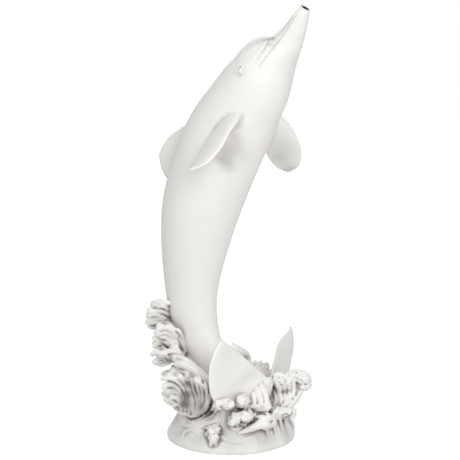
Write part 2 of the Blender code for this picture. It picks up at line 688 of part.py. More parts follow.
def build():
    """Builds the casting, the water tube and the hose tail."""
    for old in list(bpy.data.objects):
        bpy.data.objects.remove(old)

    stone = finish("white_stone_resin", COLOUR_CASTING, 0.6)
    added = new_collection("added_forms")
    cut = new_collection("cut_forms")

    casting = as_object("dolphin_casting", plinth_form(), stone)
    as_helper("body", body_form(), added)
    as_helper("dorsal_fin", blade_form(FIN_CHORDS), added)
    for label, side in (("right", 1), ("left", -1)):
        flipper = blade_form(FLIPPER_CHORDS, side, FLIPPER_ROLL, FLIPPER_HINGE_HEIGHT)
        fluke = blade_form(FLUKE_CHORDS, side, FLUKE_ROLL, FLUKE_HINGE_HEIGHT)
        as_helper(label + "_flipper", flipper, added)
        as_helper(label + "_fluke", fluke, added)
    for i, form in enumerate(eye_forms()):
        as_helper(f"eye_{i}", form, added)
    for i, fan in enumerate(FANS):
        as_helper(f"breaker_{i}", fan_form(*fan), added)
    for i, rows in enumerate(ROLLS):
        as_helper(f"roll_{i}", roll_form(rows), added)
    for i, clump in enumerate(CLUMPS):
        as_helper(f"foam_{i}", clump_form(*clump, seed=i), added)
    as_helper("inlet_boss", cylinder_form(INLET_BOSS_RADIUS, INLET_BOSS_ROOT, INLET_BOSS_REACH), added)
    join(casting, added, "UNION")

    route = tube_route()
    channel = route[-CHANNEL_POINTS:] + [2 * route[-1] - route[-2]]
    as_helper("core", core_form(), cut)
    as_helper("tube_channel", loft(sweep_rings(channel, TUBE_RADIUS + TUBE_CLEARANCE, TUBE_SIDES)), cut)
    as_helper("inlet_hole", cylinder_form(SPIGOT_RADIUS + TUBE_CLEARANCE, 0, INLET_CUT_REACH), cut)
    # The flange's seat is cut square through whatever of the plinth's slope stands in its way
    seat = INLET_BOSS_REACH + SEAT_GAP / 2
    as_helper("flange_seat", cylinder_form(FLANGE_RADIUS + FLANGE_CLEARANCE, seat, INLET_CUT_REACH), cut)
    join(casting, cut, "DIFFERENCE")

    outside = sweep_rings(route, TUBE_RADIUS, TUBE_SIDES)
    bore = sweep_rings(route, TUBE_BORE_RADIUS, TUBE_SIDES)
    as_object("water_tube", pipe_form(outside, bore), finish("black_tube", COLOUR_TUBE, 0.5))
    as_object("hose_tail", hose_tail_form(), finish("black_nylon", COLOUR_HOSE_TAIL, 0.45))


build()
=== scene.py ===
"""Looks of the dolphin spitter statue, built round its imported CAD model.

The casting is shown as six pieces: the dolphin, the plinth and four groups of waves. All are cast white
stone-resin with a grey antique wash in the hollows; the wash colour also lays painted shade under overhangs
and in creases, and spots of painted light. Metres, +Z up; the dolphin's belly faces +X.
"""

import logging
import math
from dataclasses import dataclass, field

import bmesh
import bpy
import numpy as np
from mathutils import Matrix, Vector
from mathutils.bvhtree import BVHTree


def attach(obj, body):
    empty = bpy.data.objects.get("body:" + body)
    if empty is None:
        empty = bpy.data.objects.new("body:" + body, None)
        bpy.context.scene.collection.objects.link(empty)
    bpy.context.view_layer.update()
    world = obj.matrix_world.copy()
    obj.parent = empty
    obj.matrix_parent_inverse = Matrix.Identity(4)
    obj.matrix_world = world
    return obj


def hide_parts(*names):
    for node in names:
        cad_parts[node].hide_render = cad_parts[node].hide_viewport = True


LOG = logging.getLogger("dolphin_spitter")
ROOT_BODY = "root"
CASTING_NODE = "dolphin_casting"
TUBE_NODE = "water_tube"
TAIL_NODE = "hose_tail"
UP = np.array((0.0, 0.0, 1.0))

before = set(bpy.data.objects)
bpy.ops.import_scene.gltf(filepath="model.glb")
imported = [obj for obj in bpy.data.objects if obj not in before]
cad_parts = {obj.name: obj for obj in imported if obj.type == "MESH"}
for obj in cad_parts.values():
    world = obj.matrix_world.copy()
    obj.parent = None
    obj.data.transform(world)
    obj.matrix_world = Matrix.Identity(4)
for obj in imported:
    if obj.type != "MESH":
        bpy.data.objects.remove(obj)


def unit(vector: np.ndarray) -> np.ndarray:
    """Scales a vector, or each row of an array of vectors, to length one."""
    return vector / np.maximum(np.linalg.norm(vector, axis=-1, keepdims=True), 1e-12)


def smooth_rows(rows: tuple, count: int, softness: float = 0.0) -> np.ndarray:
    """Samples the smooth curve through some rows of numbers.

    Args:
        rows: The rows that the curve passes through.
        count: How many samples are wanted.
        softness: The width of a blur along the curve, in rows, that evens out its bending.

    Returns:
        An array of count rows.
    """
    table = np.asarray(rows, float)
    last = len(table) - 1
    place = np.linspace(0, last, count)
    first = np.minimum(place.astype(int), last - 1)
    t = (place - first)[:, None]
    a, b = table[np.maximum(first - 1, 0)], table[first]
    c, d = table[first + 1], table[np.minimum(first + 2, last)]
    curve = 0.5 * (2 * b + (c - a) * t + (2 * a - 5 * b + 4 * c - d) * t**2 + (3 * b - a - 3 * c + d) * t**3)
    if softness:
        sigma = softness * (count - 1) / last
        reach = int(3 * sigma)
        weights = np.exp(-0.5 * (np.arange(-reach, reach + 1) / sigma) ** 2)
        weights /= weights.sum()
        before = 2 * curve[0] - curve[reach:0:-1]
        after = 2 * curve[-1] - curve[-2 : -reach - 2 : -1]
        padded = np.vstack((before, curve, after))
        curve = np.stack([np.convolve(column, weights, "valid") for column in padded.T], 1)
    return curve


class Shells:
    """Closed shells that are gathered into one mesh."""

    def __init__(self) -> None:
        """Starts with no shell."""
        self.points: list[np.ndarray] = []
        self.faces: list[tuple[int, ...]] = []
        self.count = 0

    def add(self, points: np.ndarray, faces: list[tuple[int, ...]]) -> None:
        """Adds a shell's points and faces."""
        start = self.count
        self.points.append(np.asarray(points, float).reshape(-1, 3))
        self.faces += [tuple(start + i for i in face) for face in faces]
        self.count += len(self.points[-1])

    def add_loft(self, rings: np.ndarray) -> None:
        """Adds a closed loft through rings of equal counts, with its ends capped."""
        rows, count = rings.shape[:2]
        faces = []
        for r in range(rows - 1):
            for i in range(count):
                j = (i + 1) % count
                faces.append((r * count + i, r * count + j, (r + 1) * count + j, (r + 1) * count + i))
        faces.append(tuple(range(count))[::-1])
        faces.append(tuple((rows - 1) * count + i for i in range(count)))
        self.add(rings, faces)

    def make(self, name: str) -> bpy.types.Object:
        """Makes the object, with its faces pointing out.

        Args:
            name: The object's name.

        Returns:
            The object, linked to the scene.
        """
        mesh = bpy.data.meshes.new(name)
        mesh.from_pydata(np.vstack(self.points).tolist(), [], self.faces)
        made = bpy.data.objects.new(name, mesh)
        bpy.context.scene.collection.objects.link(made)
        face_outwards(made)
        return made


def face_outwards(made: bpy.types.Object) -> None:
    """Turns every face of an object outwards."""
    shape = bmesh.new()
    shape.from_mesh(made.data)
    bmesh.ops.recalc_face_normals(shape, faces=shape.faces)
    shape.to_mesh(made.data)
    shape.free()
    made.data.shade_smooth()


def apply_modifiers(made: bpy.types.Object) -> bpy.types.Object:
    """Turns an object's modifiers into plain mesh.

    Args:
        made: The object with modifiers.

    Returns:
        The same object, with a new mesh and no modifier.
    """
    graph = bpy.context.evaluated_depsgraph_get()
    mesh = bpy.data.meshes.new_from_object(made.evaluated_get(graph))
    made.modifiers.clear()
    made.data = mesh
    return made


def points_of(made: bpy.types.Object) -> np.ndarray:
    """Reads the places of an object's vertices."""
    flat = np.zeros(len(made.data.vertices) * 3)
    made.data.vertices.foreach_get("co", flat)
    return flat.reshape(-1, 3)


def normals_of(made: bpy.types.Object) -> np.ndarray:
    """Reads the outward directions of an object's vertices."""
    flat = np.zeros(len(made.data.vertices) * 3)
    made.data.vertices.foreach_get("normal", flat)
    return flat.reshape(-1, 3)


def neighbour_mean(points: np.ndarray, edges: np.ndarray, rounds: int) -> np.ndarray:
    """Averages each point with its neighbours.

    Args:
        points: One row for each vertex.
        edges: Pairs of vertex numbers.
        rounds: How many times the average is taken.

    Returns:
        The evened points.
    """
    total = len(points)
    degree = np.bincount(edges.ravel(), minlength=total)[:, None].astype(float)
    for _ in range(rounds):
        summed = np.stack(
            [
                np.bincount(edges[:, 0], points[edges[:, 1], k], total)
                + np.bincount(edges[:, 1], points[edges[:, 0], k], total)
                for k in range(points.shape[1])
            ],
            1,
        )
        points = 0.5 * points + 0.5 * summed / np.maximum(degree, 1)
    return points


def write_recess(
    made: bpy.types.Object,
    fine: int = 6,
    broad: int = 50,
    scale: float = 0.0012,
    fine_weight: float = 2.0,
    broad_weight: float = 0.6,
) -> None:
    """Writes how far each vertex lies in a hollow, from 0 on a ridge to 1, as the attribute recess.

    Args:
        made: The object.
        fine: Rounds of averaging that find the small grooves.
        broad: Rounds of averaging that find the wide hollows.
        scale: The depth, in metres, that counts as a full hollow.
        fine_weight: How much the small grooves count.
        broad_weight: How much the wide hollows count.
    """
    mesh = made.data
    edges = np.zeros(len(mesh.edges) * 2, int)
    mesh.edges.foreach_get("vertices", edges)
    edges = edges.reshape(-1, 2)
    normals = normals_of(made)
    points = points_of(made)
    near = neighbour_mean(points, edges, fine)
    far = neighbour_mean(near, edges, broad)
    groove = ((near - points) * normals).sum(1)
    hollow = ((far - near) * normals).sum(1)
    depth = groove * fine_weight + hollow * broad_weight
    depth = neighbour_mean(depth[:, None], edges, 1)[:, 0]
    level = np.clip(0.5 + depth / scale / 2, 0, 1)
    write_level(made, "recess", level)


def write_level(made: bpy.types.Object, name: str, level: np.ndarray) -> None:
    """Writes a number for each vertex as an attribute of the object's mesh."""
    layer = made.data.attributes.new(name, "FLOAT", "POINT")
    layer.data.foreach_set("value", level)


class Crowding:
    """How much stone stands round each place: the wash held there and the painted shade of a baked occlusion.

    The pieces fill the cells of a grid, the grid is blurred, and each vertex reads the blurred grid a little
    way out from its own surface.
    """

    MARGIN = 0.03
    # Two readings, each a blur of the grid and how far out it is read, in metres
    NEAR_BLUR, NEAR_REACH = 0.006, 0.005
    FAR_BLUR, FAR_REACH = 0.014, 0.012
    # The filled share that an open flat place has, and how much more counts as fully crowded
    OPEN_SHARE, FULL_RANGE = 0.24, 0.40
    READING_WEIGHT = 0.6

    def __init__(self, pieces: list[bpy.types.Object], cell: float = 0.003) -> None:
        """Fills the grid from the pieces.

        Args:
            pieces: The pieces, each made of closed shells.
            cell: The size of a cell.
        """
        self.cell = cell
        corners = np.vstack([points_of(piece) for piece in pieces])
        self.low = corners.min(0) - self.MARGIN
        self.count = np.ceil((corners.max(0) + self.MARGIN - self.low) / cell).astype(int)
        self.filled = np.zeros(self.count, np.float32)
        graph = bpy.context.evaluated_depsgraph_get()
        for piece in pieces:
            self._fill(BVHTree.FromObject(piece, graph), points_of(piece))

    def _fill(self, tree: BVHTree, points: np.ndarray) -> None:
        """Fills the cells inside one piece, column by column."""
        first = np.floor((points.min(0) - self.low) / self.cell).astype(int)
        last = np.ceil((points.max(0) - self.low) / self.cell).astype(int)
        upward = Vector((0, 0, 1))
        skip = self.cell / 100
        for i in range(first[0], last[0]):
            for j in range(first[1], last[1]):
                x, y = self.low[:2] + (np.array((i, j)) + 0.5) * self.cell
                height = points[:, 2].min() - self.cell
                depth, entered = 0, 0.0
                while True:
                    spot, normal, _, _ = tree.ray_cast(Vector((x, y, height)), upward)
                    if spot is None:
                        break
                    height = spot.z + skip
                    entering = normal.z < 0
                    if entering and depth == 0:
                        entered = spot.z
                    depth += 1 if entering else -1
                    if depth == 0:
                        low, high = ((z - self.low[2]) / self.cell - 0.5 for z in (entered, spot.z))
                        self.filled[i, j, math.ceil(low) : math.ceil(high)] = 1

    def _blurred(self, blur: float) -> np.ndarray:
        """Blurs the grid over a distance in metres."""
        sigma = blur / self.cell
        reach = int(3 * sigma)
        weights = np.exp(-0.5 * (np.arange(-reach, reach + 1) / sigma) ** 2)
        weights /= weights.sum()
        grid = self.filled
        for axis in range(3):
            turned = np.moveaxis(grid, axis, 0)
            total = np.zeros_like(turned)
            for k, weight in zip(range(-reach, reach + 1), weights):
                into = slice(max(0, k), len(turned) + min(0, k))
                source = slice(max(0, -k), len(turned) - max(0, k))
                total[into] += np.float32(weight) * turned[source]
            grid = np.moveaxis(total, 0, axis)
        return grid

    def _read(self, grid: np.ndarray, places: np.ndarray) -> np.ndarray:
        """Reads a grid at places between its cells."""
        at = (places - self.low) / self.cell - 0.5
        base = np.clip(np.floor(at).astype(int), 0, self.count - 2)
        part = np.clip(at - base, 0, 1)
        level = np.zeros(len(places))
        for corner in np.ndindex(2, 2, 2):
            share = np.prod(np.where(corner, part, 1 - part), 1)
            level += share * grid[tuple((base + corner).T)]
        return level

    def _level(self, grid: np.ndarray, places: np.ndarray) -> np.ndarray:
        """Turns the blurred grid's values at places into levels from 0 to 1."""
        return np.clip((self._read(grid, places) - self.OPEN_SHARE) / self.FULL_RANGE, 0, 1)

    def write(self, pieces: list[bpy.types.Object]) -> None:
        """Writes, on each piece, the attribute that holds the wash and the painted shade of the crowding.

        Args:
            pieces: The pieces.
        """
        narrow, wide = self._blurred(self.NEAR_BLUR), self._blurred(self.FAR_BLUR)
        for piece in pieces:
            normals = normals_of(piece)
            points = points_of(piece)
            near = self._level(narrow, points + normals * self.NEAR_REACH)
            far = self._level(wide, points + normals * self.FAR_REACH)
            # The crowding stands both for wash held between parts and for painted shade where parts overhang
            crowd_wash_and_shade = self.READING_WEIGHT * near + self.READING_WEIGHT * far
            write_level(piece, "crowd_wash_and_shade", np.clip(crowd_wash_and_shade, 0, 1))


# Node trees


class Wire:
    """A socket of a node tree, with which sums can be written as plain expressions."""

    def __init__(self, tree: "NodeTree", socket: bpy.types.NodeSocket) -> None:
        """Keeps the tree and the socket."""
        self.tree = tree
        self.socket = socket

    def _math(self, operation: str, a: object, b: object) -> "Wire":
        """Adds a Math node."""
        made = self.tree.node("ShaderNodeMath", {"operation": operation}, {0: a, 1: b})
        return Wire(self.tree, made.outputs[0])

    def __add__(self, other: object) -> "Wire":
        """Sum."""
        return self._math("ADD", self, other)

    __radd__ = __add__

    def __sub__(self, other: object) -> "Wire":
        """Difference."""
        return self._math("SUBTRACT", self, other)

    def __rsub__(self, other: object) -> "Wire":
        """Difference, reflected."""
        return self._math("SUBTRACT", other, self)

    def __mul__(self, other: object) -> "Wire":
        """Product."""
        return self._math("MULTIPLY", self, other)

    __rmul__ = __mul__

    def clamped(self) -> "Wire":
        """The value kept between 0 and 1."""
        made = self.tree.node("ShaderNodeClamp", {}, {"Value": self})
        return Wire(self.tree, made.outputs[0])


class NodeTree:
    """Builds a node tree, for a material or for geometry."""

    def __init__(self, tree: bpy.types.NodeTree) -> None:
        """Takes over the tree and empties it."""
        self.tree = tree
        tree.nodes.clear()

    def node(self, kind: str, settings: dict | None = None, inputs: dict | None = None) -> bpy.types.Node:
        """Adds a node.

        Args:
            kind: The node's type.
            settings: Its settings, which are set first. A ramp's stops are given as "stops".
            inputs: For each input, by name or number, a value, a socket or a Wire.

        Returns:
            The node.
        """
        made = self.tree.nodes.new(kind)
        for key, value in (settings or {}).items():
            if key == "stops":
                self._set_stops(made, value)
            else:
                setattr(made, key, value)
        for key, value in (inputs or {}).items():
            source = value.socket if isinstance(value, Wire) else value
            if isinstance(source, bpy.types.NodeSocket):
                self.tree.links.new(source, made.inputs[key])
            else:
                made.inputs[key].default_value = source
        return made

    def wire(
        self, kind: str, settings: dict | None = None, inputs: dict | None = None, out: object = 0
    ) -> Wire:
        """Adds a node and returns one of its outputs as a Wire."""
        return Wire(self, self.node(kind, settings, inputs).outputs[out])

    @staticmethod
    def _set_stops(made: bpy.types.Node, stops: list[tuple[float, float]]) -> None:
        """Sets a grey ramp's stops."""
        ramp = made.color_ramp
        while len(ramp.elements) < len(stops):
            ramp.elements.new(1.0)
        for element, (place, grey) in zip(ramp.elements, stops):
            element.position = place
            element.color = (grey, grey, grey, 1.0)


# Finishes


@dataclass(frozen=True)
class StoneResin:
    """Cast white stone-resin, brushed with a grey wash that stays in the hollows, whose colour also lays
    painted shade and painted light.
    """

    name: str
    white: tuple[float, float, float, float] = (0.862, 0.848, 0.818, 1.0)
    # The wash colour, used both for the real wash and for painted shade
    wash: tuple[float, float, float, float] = (0.205, 0.192, 0.172, 1.0)
    wash_least: float = 0.0
    wash_gain: float = 1.1
    wash_start: float = 0.56
    crowd_wash_and_shade_gain: float = 0.7
    grain: float = 420.0
    grain_share: float = 0.35
    brush: float = 70.0
    brush_depth: float = 0.2
    cloud: float = 9.0
    cloud_depth: float = 0.05
    mottle: float = 40.0
    mottle_depth: float = 0.04
    rough: float = 0.52
    rough_wash: float = 0.16
    rough_grain: float = 0.12
    bump: float = 0.22
    bump_distance: float = 0.0006
    specular: float = 0.35

    def make(self) -> bpy.types.Material:
        """Builds the material.

        Returns:
            The material.
        """
        made = bpy.data.materials.new(self.name)
        made.use_nodes = True
        tree = NodeTree(made.node_tree)
        place = tree.wire("ShaderNodeTexCoord", out="Object")
        recess = tree.wire("ShaderNodeAttribute", {"attribute_name": "recess"}, out="Fac")
        crowd_wash_and_shade = tree.wire("ShaderNodeAttribute", {"attribute_name": "crowd_wash_and_shade"}, out="Fac")
        clouds = tree.wire("ShaderNodeTexNoise", {}, {"Vector": place, "Scale": self.cloud, "Detail": 5.0})
        mottle = tree.wire("ShaderNodeTexNoise", {}, {"Vector": place, "Scale": self.mottle, "Detail": 3.0})
        brush = tree.wire("ShaderNodeTexNoise", {}, {"Vector": place, "Scale": self.brush, "Detail": 4.0})
        grain = tree.wire("ShaderNodeTexNoise", {}, {"Vector": place, "Scale": self.grain, "Detail": 3.0})
        held = ((recess - self.wash_start) * self.wash_gain + (brush - 0.5) * self.brush_depth).clamped()
        # Painted shade and light: the crowding darkens towards the wash colour where parts overhang, and the
        # spots add painted shade or, below 0, painted light
        spots = tree.wire("ShaderNodeAttribute", {"attribute_name": "spots"}, out="Fac")
        wash_and_painted_light = crowd_wash_and_shade * self.crowd_wash_and_shade_gain + spots
        stain = (clouds - 0.5) * self.cloud_depth * 2 + (mottle - 0.5) * self.mottle_depth * 2
        mask = (held + wash_and_painted_light + stain + self.wash_least).clamped()
        colour = tree.node(
            "ShaderNodeMix",
            {"data_type": "RGBA"},
            {0: mask, 6: self.white, 7: self.wash},
        )
        rough = (self.rough + self.rough_wash * mask + (grain - 0.5) * self.rough_grain).clamped()
        height = grain * self.grain_share + brush * (1 - self.grain_share)
        bump = tree.node(
            "ShaderNodeBump", {}, {"Height": height, "Strength": self.bump, "Distance": self.bump_distance}
        )
        shader = tree.node(
            "ShaderNodeBsdfPrincipled",
            {},
            {
                "Base Color": colour.outputs[2],
                "Roughness": rough,
                "Normal": bump.outputs[0],
                "Specular IOR Level": self.specular,
            },
        )
        tree.node("ShaderNodeOutputMaterial", {}, {"Surface": shader.outputs[0]})
        return made


@dataclass(frozen=True)
class BlackPlastic:
    """Black tube or moulded black nylon, with a little dust."""

    name: str
    colour: tuple[float, float, float, float] = (0.018, 0.018, 0.019, 1.0)
    dust: tuple[float, float, float, float] = (0.10, 0.10, 0.098, 1.0)
    rough: float = 0.38
    rough_range: float = 0.2
    specks: float = 240.0
    dust_start: float = 0.52
    dust_gain: float = 2.0
    bump: float = 0.15
    bump_distance: float = 0.0003

    def make(self) -> bpy.types.Material:
        """Builds the material.

        Returns:
            The material.
        """
        made = bpy.data.materials.new(self.name)
        made.use_nodes = True
        tree = NodeTree(made.node_tree)
        place = tree.wire("ShaderNodeTexCoord", out="Object")
        specks = tree.wire("ShaderNodeTexNoise", {}, {"Vector": place, "Scale": self.specks, "Detail": 4.0})
        mask = ((specks - self.dust_start) * self.dust_gain).clamped()
        colour = tree.node("ShaderNodeMix", {"data_type": "RGBA"}, {0: mask, 6: self.colour, 7: self.dust})
        bump = tree.node(
            "ShaderNodeBump", {}, {"Height": specks, "Strength": self.bump, "Distance": self.bump_distance}
        )
        shader = tree.node(
            "ShaderNodeBsdfPrincipled",
            {},
            {
                "Base Color": colour.outputs[2],
                "Roughness": (self.rough + specks * self.rough_range).clamped(),
                "Normal": bump.outputs[0],
            },
        )
        tree.node("ShaderNodeOutputMaterial", {}, {"Surface": shader.outputs[0]})
        return made


# Geometry Nodes for what repeats on the waves


class GeometryKit:
    """Builds the Geometry Nodes trees that lay ribs along lines, set beads on points and scatter bubbles."""

    def __init__(self) -> None:
        """Builds the three trees."""
        self.ribs = self._rib_tree()
        self.beads = self._bead_tree()
        self.bubbles = self._bubble_tree()

    @staticmethod
    def _group(name: str, sockets: tuple) -> tuple[NodeTree, bpy.types.Node]:
        """Starts a tree with a geometry socket each way and the named inputs."""
        group = bpy.data.node_groups.new(name, "GeometryNodeTree")
        group.interface.new_socket("Geometry", in_out="INPUT", socket_type="NodeSocketGeometry")
        group.interface.new_socket("Geometry", in_out="OUTPUT", socket_type="NodeSocketGeometry")
        for label, kind, value in sockets:
            socket = group.interface.new_socket(label, in_out="INPUT", socket_type=kind)
            if value is not None:
                socket.default_value = value
        tree = NodeTree(group)
        return tree, tree.node("NodeGroupInput")

    @staticmethod
    def _end(tree: NodeTree, given: bpy.types.Node, geometry: bpy.types.NodeSocket) -> bpy.types.NodeTree:
        """Ends a tree with Realize Instances and Set Material."""
        real = tree.node("GeometryNodeRealizeInstances", {}, {"Geometry": geometry})
        painted = tree.node(
            "GeometryNodeSetMaterial",
            {},
            {"Geometry": real.outputs[0], "Material": given.outputs["Material"]},
        )
        tree.node("NodeGroupOutput", {}, {"Geometry": painted.outputs[0]})
        return tree.tree

    def _rib_tree(self) -> bpy.types.NodeTree:
        """Ribs: a round bar along each line, as thick as the line's attribute thickness says."""
        tree, given = self._group(
            "wave_ribs",
            (
                ("Thickness scale", "NodeSocketFloat", 1.0),
                ("Sides", "NodeSocketInt", 10),
                ("Material", "NodeSocketMaterial", None),
            ),
        )
        lines = tree.node("GeometryNodeMeshToCurve", {}, {"Mesh": given.outputs["Geometry"]})
        stored = tree.wire(
            "GeometryNodeInputNamedAttribute", {"data_type": "FLOAT"}, {"Name": "thickness"}, "Attribute"
        )
        size = stored * Wire(tree, given.outputs["Thickness scale"])
        circle = tree.node(
            "GeometryNodeCurvePrimitiveCircle", {}, {"Resolution": given.outputs["Sides"], "Radius": 1.0}
        )
        bars = tree.node(
            "GeometryNodeCurveToMesh",
            {},
            {"Curve": lines.outputs[0], "Profile Curve": circle.outputs[0], "Scale": size, "Fill Caps": True},
        )
        return self._end(tree, given, bars.outputs[0])

    def _bead_tree(self) -> bpy.types.NodeTree:
        """Beads: a ball at each point, as large as the point's attribute thickness says."""
        tree, given = self._group(
            "wave_beads",
            (
                ("Size scale", "NodeSocketFloat", 1.0),
                ("Material", "NodeSocketMaterial", None),
            ),
        )
        ball = tree.node("GeometryNodeMeshIcoSphere", {}, {"Radius": 1.0, "Subdivisions": 2})
        stored = tree.wire(
            "GeometryNodeInputNamedAttribute", {"data_type": "FLOAT"}, {"Name": "thickness"}, "Attribute"
        )
        size = stored * Wire(tree, given.outputs["Size scale"])
        placed = tree.node(
            "GeometryNodeInstanceOnPoints",
            {},
            {"Points": given.outputs["Geometry"], "Instance": ball.outputs[0], "Scale": size},
        )
        return self._end(tree, given, placed.outputs[0])

    def _bubble_tree(self) -> bpy.types.NodeTree:
        """Bubbles: small balls scattered over a surface, never closer than a given distance."""
        tree, given = self._group(
            "foam_bubbles",
            (
                ("Least size", "NodeSocketFloat", 0.0022),
                ("Most size", "NodeSocketFloat", 0.0042),
                ("Spacing", "NodeSocketFloat", 0.0048),
                ("Most density", "NodeSocketFloat", 60000.0),
                ("Seed", "NodeSocketInt", 4),
                ("Material", "NodeSocketMaterial", None),
            ),
        )
        spots = tree.node(
            "GeometryNodeDistributePointsOnFaces",
            {"distribute_method": "POISSON"},
            {
                "Mesh": given.outputs["Geometry"],
                "Distance Min": given.outputs["Spacing"],
                "Density Max": given.outputs["Most density"],
                "Seed": given.outputs["Seed"],
            },
        )
        size = tree.node(
            "FunctionNodeRandomValue",
            {"data_type": "FLOAT"},
            {2: given.outputs["Least size"], 3: given.outputs["Most size"], "Seed": given.outputs["Seed"]},
        )
        ball = tree.node("GeometryNodeMeshIcoSphere", {}, {"Radius": 1.0, "Subdivisions": 2})
        placed = tree.node(
            "GeometryNodeInstanceOnPoints",
            {},
            {"Points": spots.outputs["Points"], "Instance": ball.outputs[0], "Scale": size.outputs[1]},
        )
        both = tree.node("GeometryNodeJoinGeometry", {}, {"Geometry": placed.outputs[0]})
        tree.tree.links.new(given.outputs["Geometry"], both.inputs[0])
        return self._end(tree, given, both.outputs[0])

    @staticmethod
    def run(made: bpy.types.Object, group: bpy.types.NodeTree, **values: object) -> bpy.types.Object:
        """Runs a tree on an object and keeps the result as plain mesh.

        Args:
            made: The object.
            group: The tree.
            values: Values of its named inputs, with underscores for spaces.

        Returns:
            The same object.
        """
        modifier = made.modifiers.new(group.name, "NODES")
        modifier.node_group = group
        for item in group.interface.items_tree:
            key = item.name.replace(" ", "_").lower()
            if item.in_out == "INPUT" and key in values:
                modifier[item.identifier] = values[key]
        return apply_modifiers(made)


# The photograph's view, which places the waves' strands


@dataclass(frozen=True)
class PhotoView:
    """Where the photograph was taken from, and the points that its pixels show."""

    azimuth: float = math.radians(35.0)
    distance: float = 2.64
    height: float = 0.885
    focal_pixels: float = 1384.0
    picture: float = 460.0
    base_pixel: tuple[float, float] = (231.0, 434.0)

    def place(self) -> np.ndarray:
        """The camera's place."""
        return np.array(
            (self.distance * math.sin(self.azimuth), -self.distance * math.cos(self.azimuth), self.height)
        )

    def axes(self) -> tuple[np.ndarray, np.ndarray, np.ndarray]:
        """The directions to the picture's right, to its top and into it."""
        middle = self.picture / 2
        pitch = math.atan2(self.height, self.distance)
        pitch -= math.atan((self.base_pixel[1] - middle) / self.focal_pixels)
        yaw = (self.base_pixel[0] - middle) / self.focal_pixels
        right = np.array((math.cos(self.azimuth), math.sin(self.azimuth), 0))
        level = np.array((-math.sin(self.azimuth), math.cos(self.azimuth), 0))
        forward = unit(level * math.cos(pitch) - UP * math.sin(pitch) - right * yaw)
        right = unit(np.cross(forward, UP))
        return right, np.cross(right, forward), forward

    def ray(self, across: float, down: float) -> np.ndarray:
        """The direction in which the camera sees a pixel."""
        right, upward, forward = self.axes()
        middle = self.picture / 2
        sideways = (across - middle) / self.focal_pixels
        return unit(forward + right * sideways - upward * (down - middle) / self.focal_pixels)

    def nearness(self, point: np.ndarray) -> float:
        """How far a point lies in front of the statue's axis, towards the camera."""
        return float(point[0] * math.sin(self.azimuth) - point[1] * math.cos(self.azimuth))

    def at(self, across: float, down: float, near: float) -> np.ndarray:
        """The point that a pixel shows at a given nearness."""
        ray = self.ray(across, down)
        start = self.place()
        facing = np.array((math.sin(self.azimuth), -math.cos(self.azimuth), 0))
        return start + ray * ((near - start @ facing) / (ray @ facing))

    def pixel_size(self, near: float) -> float:
        """How wide a pixel is at a given nearness."""
        return (self.distance - near) / self.focal_pixels


# The dolphin


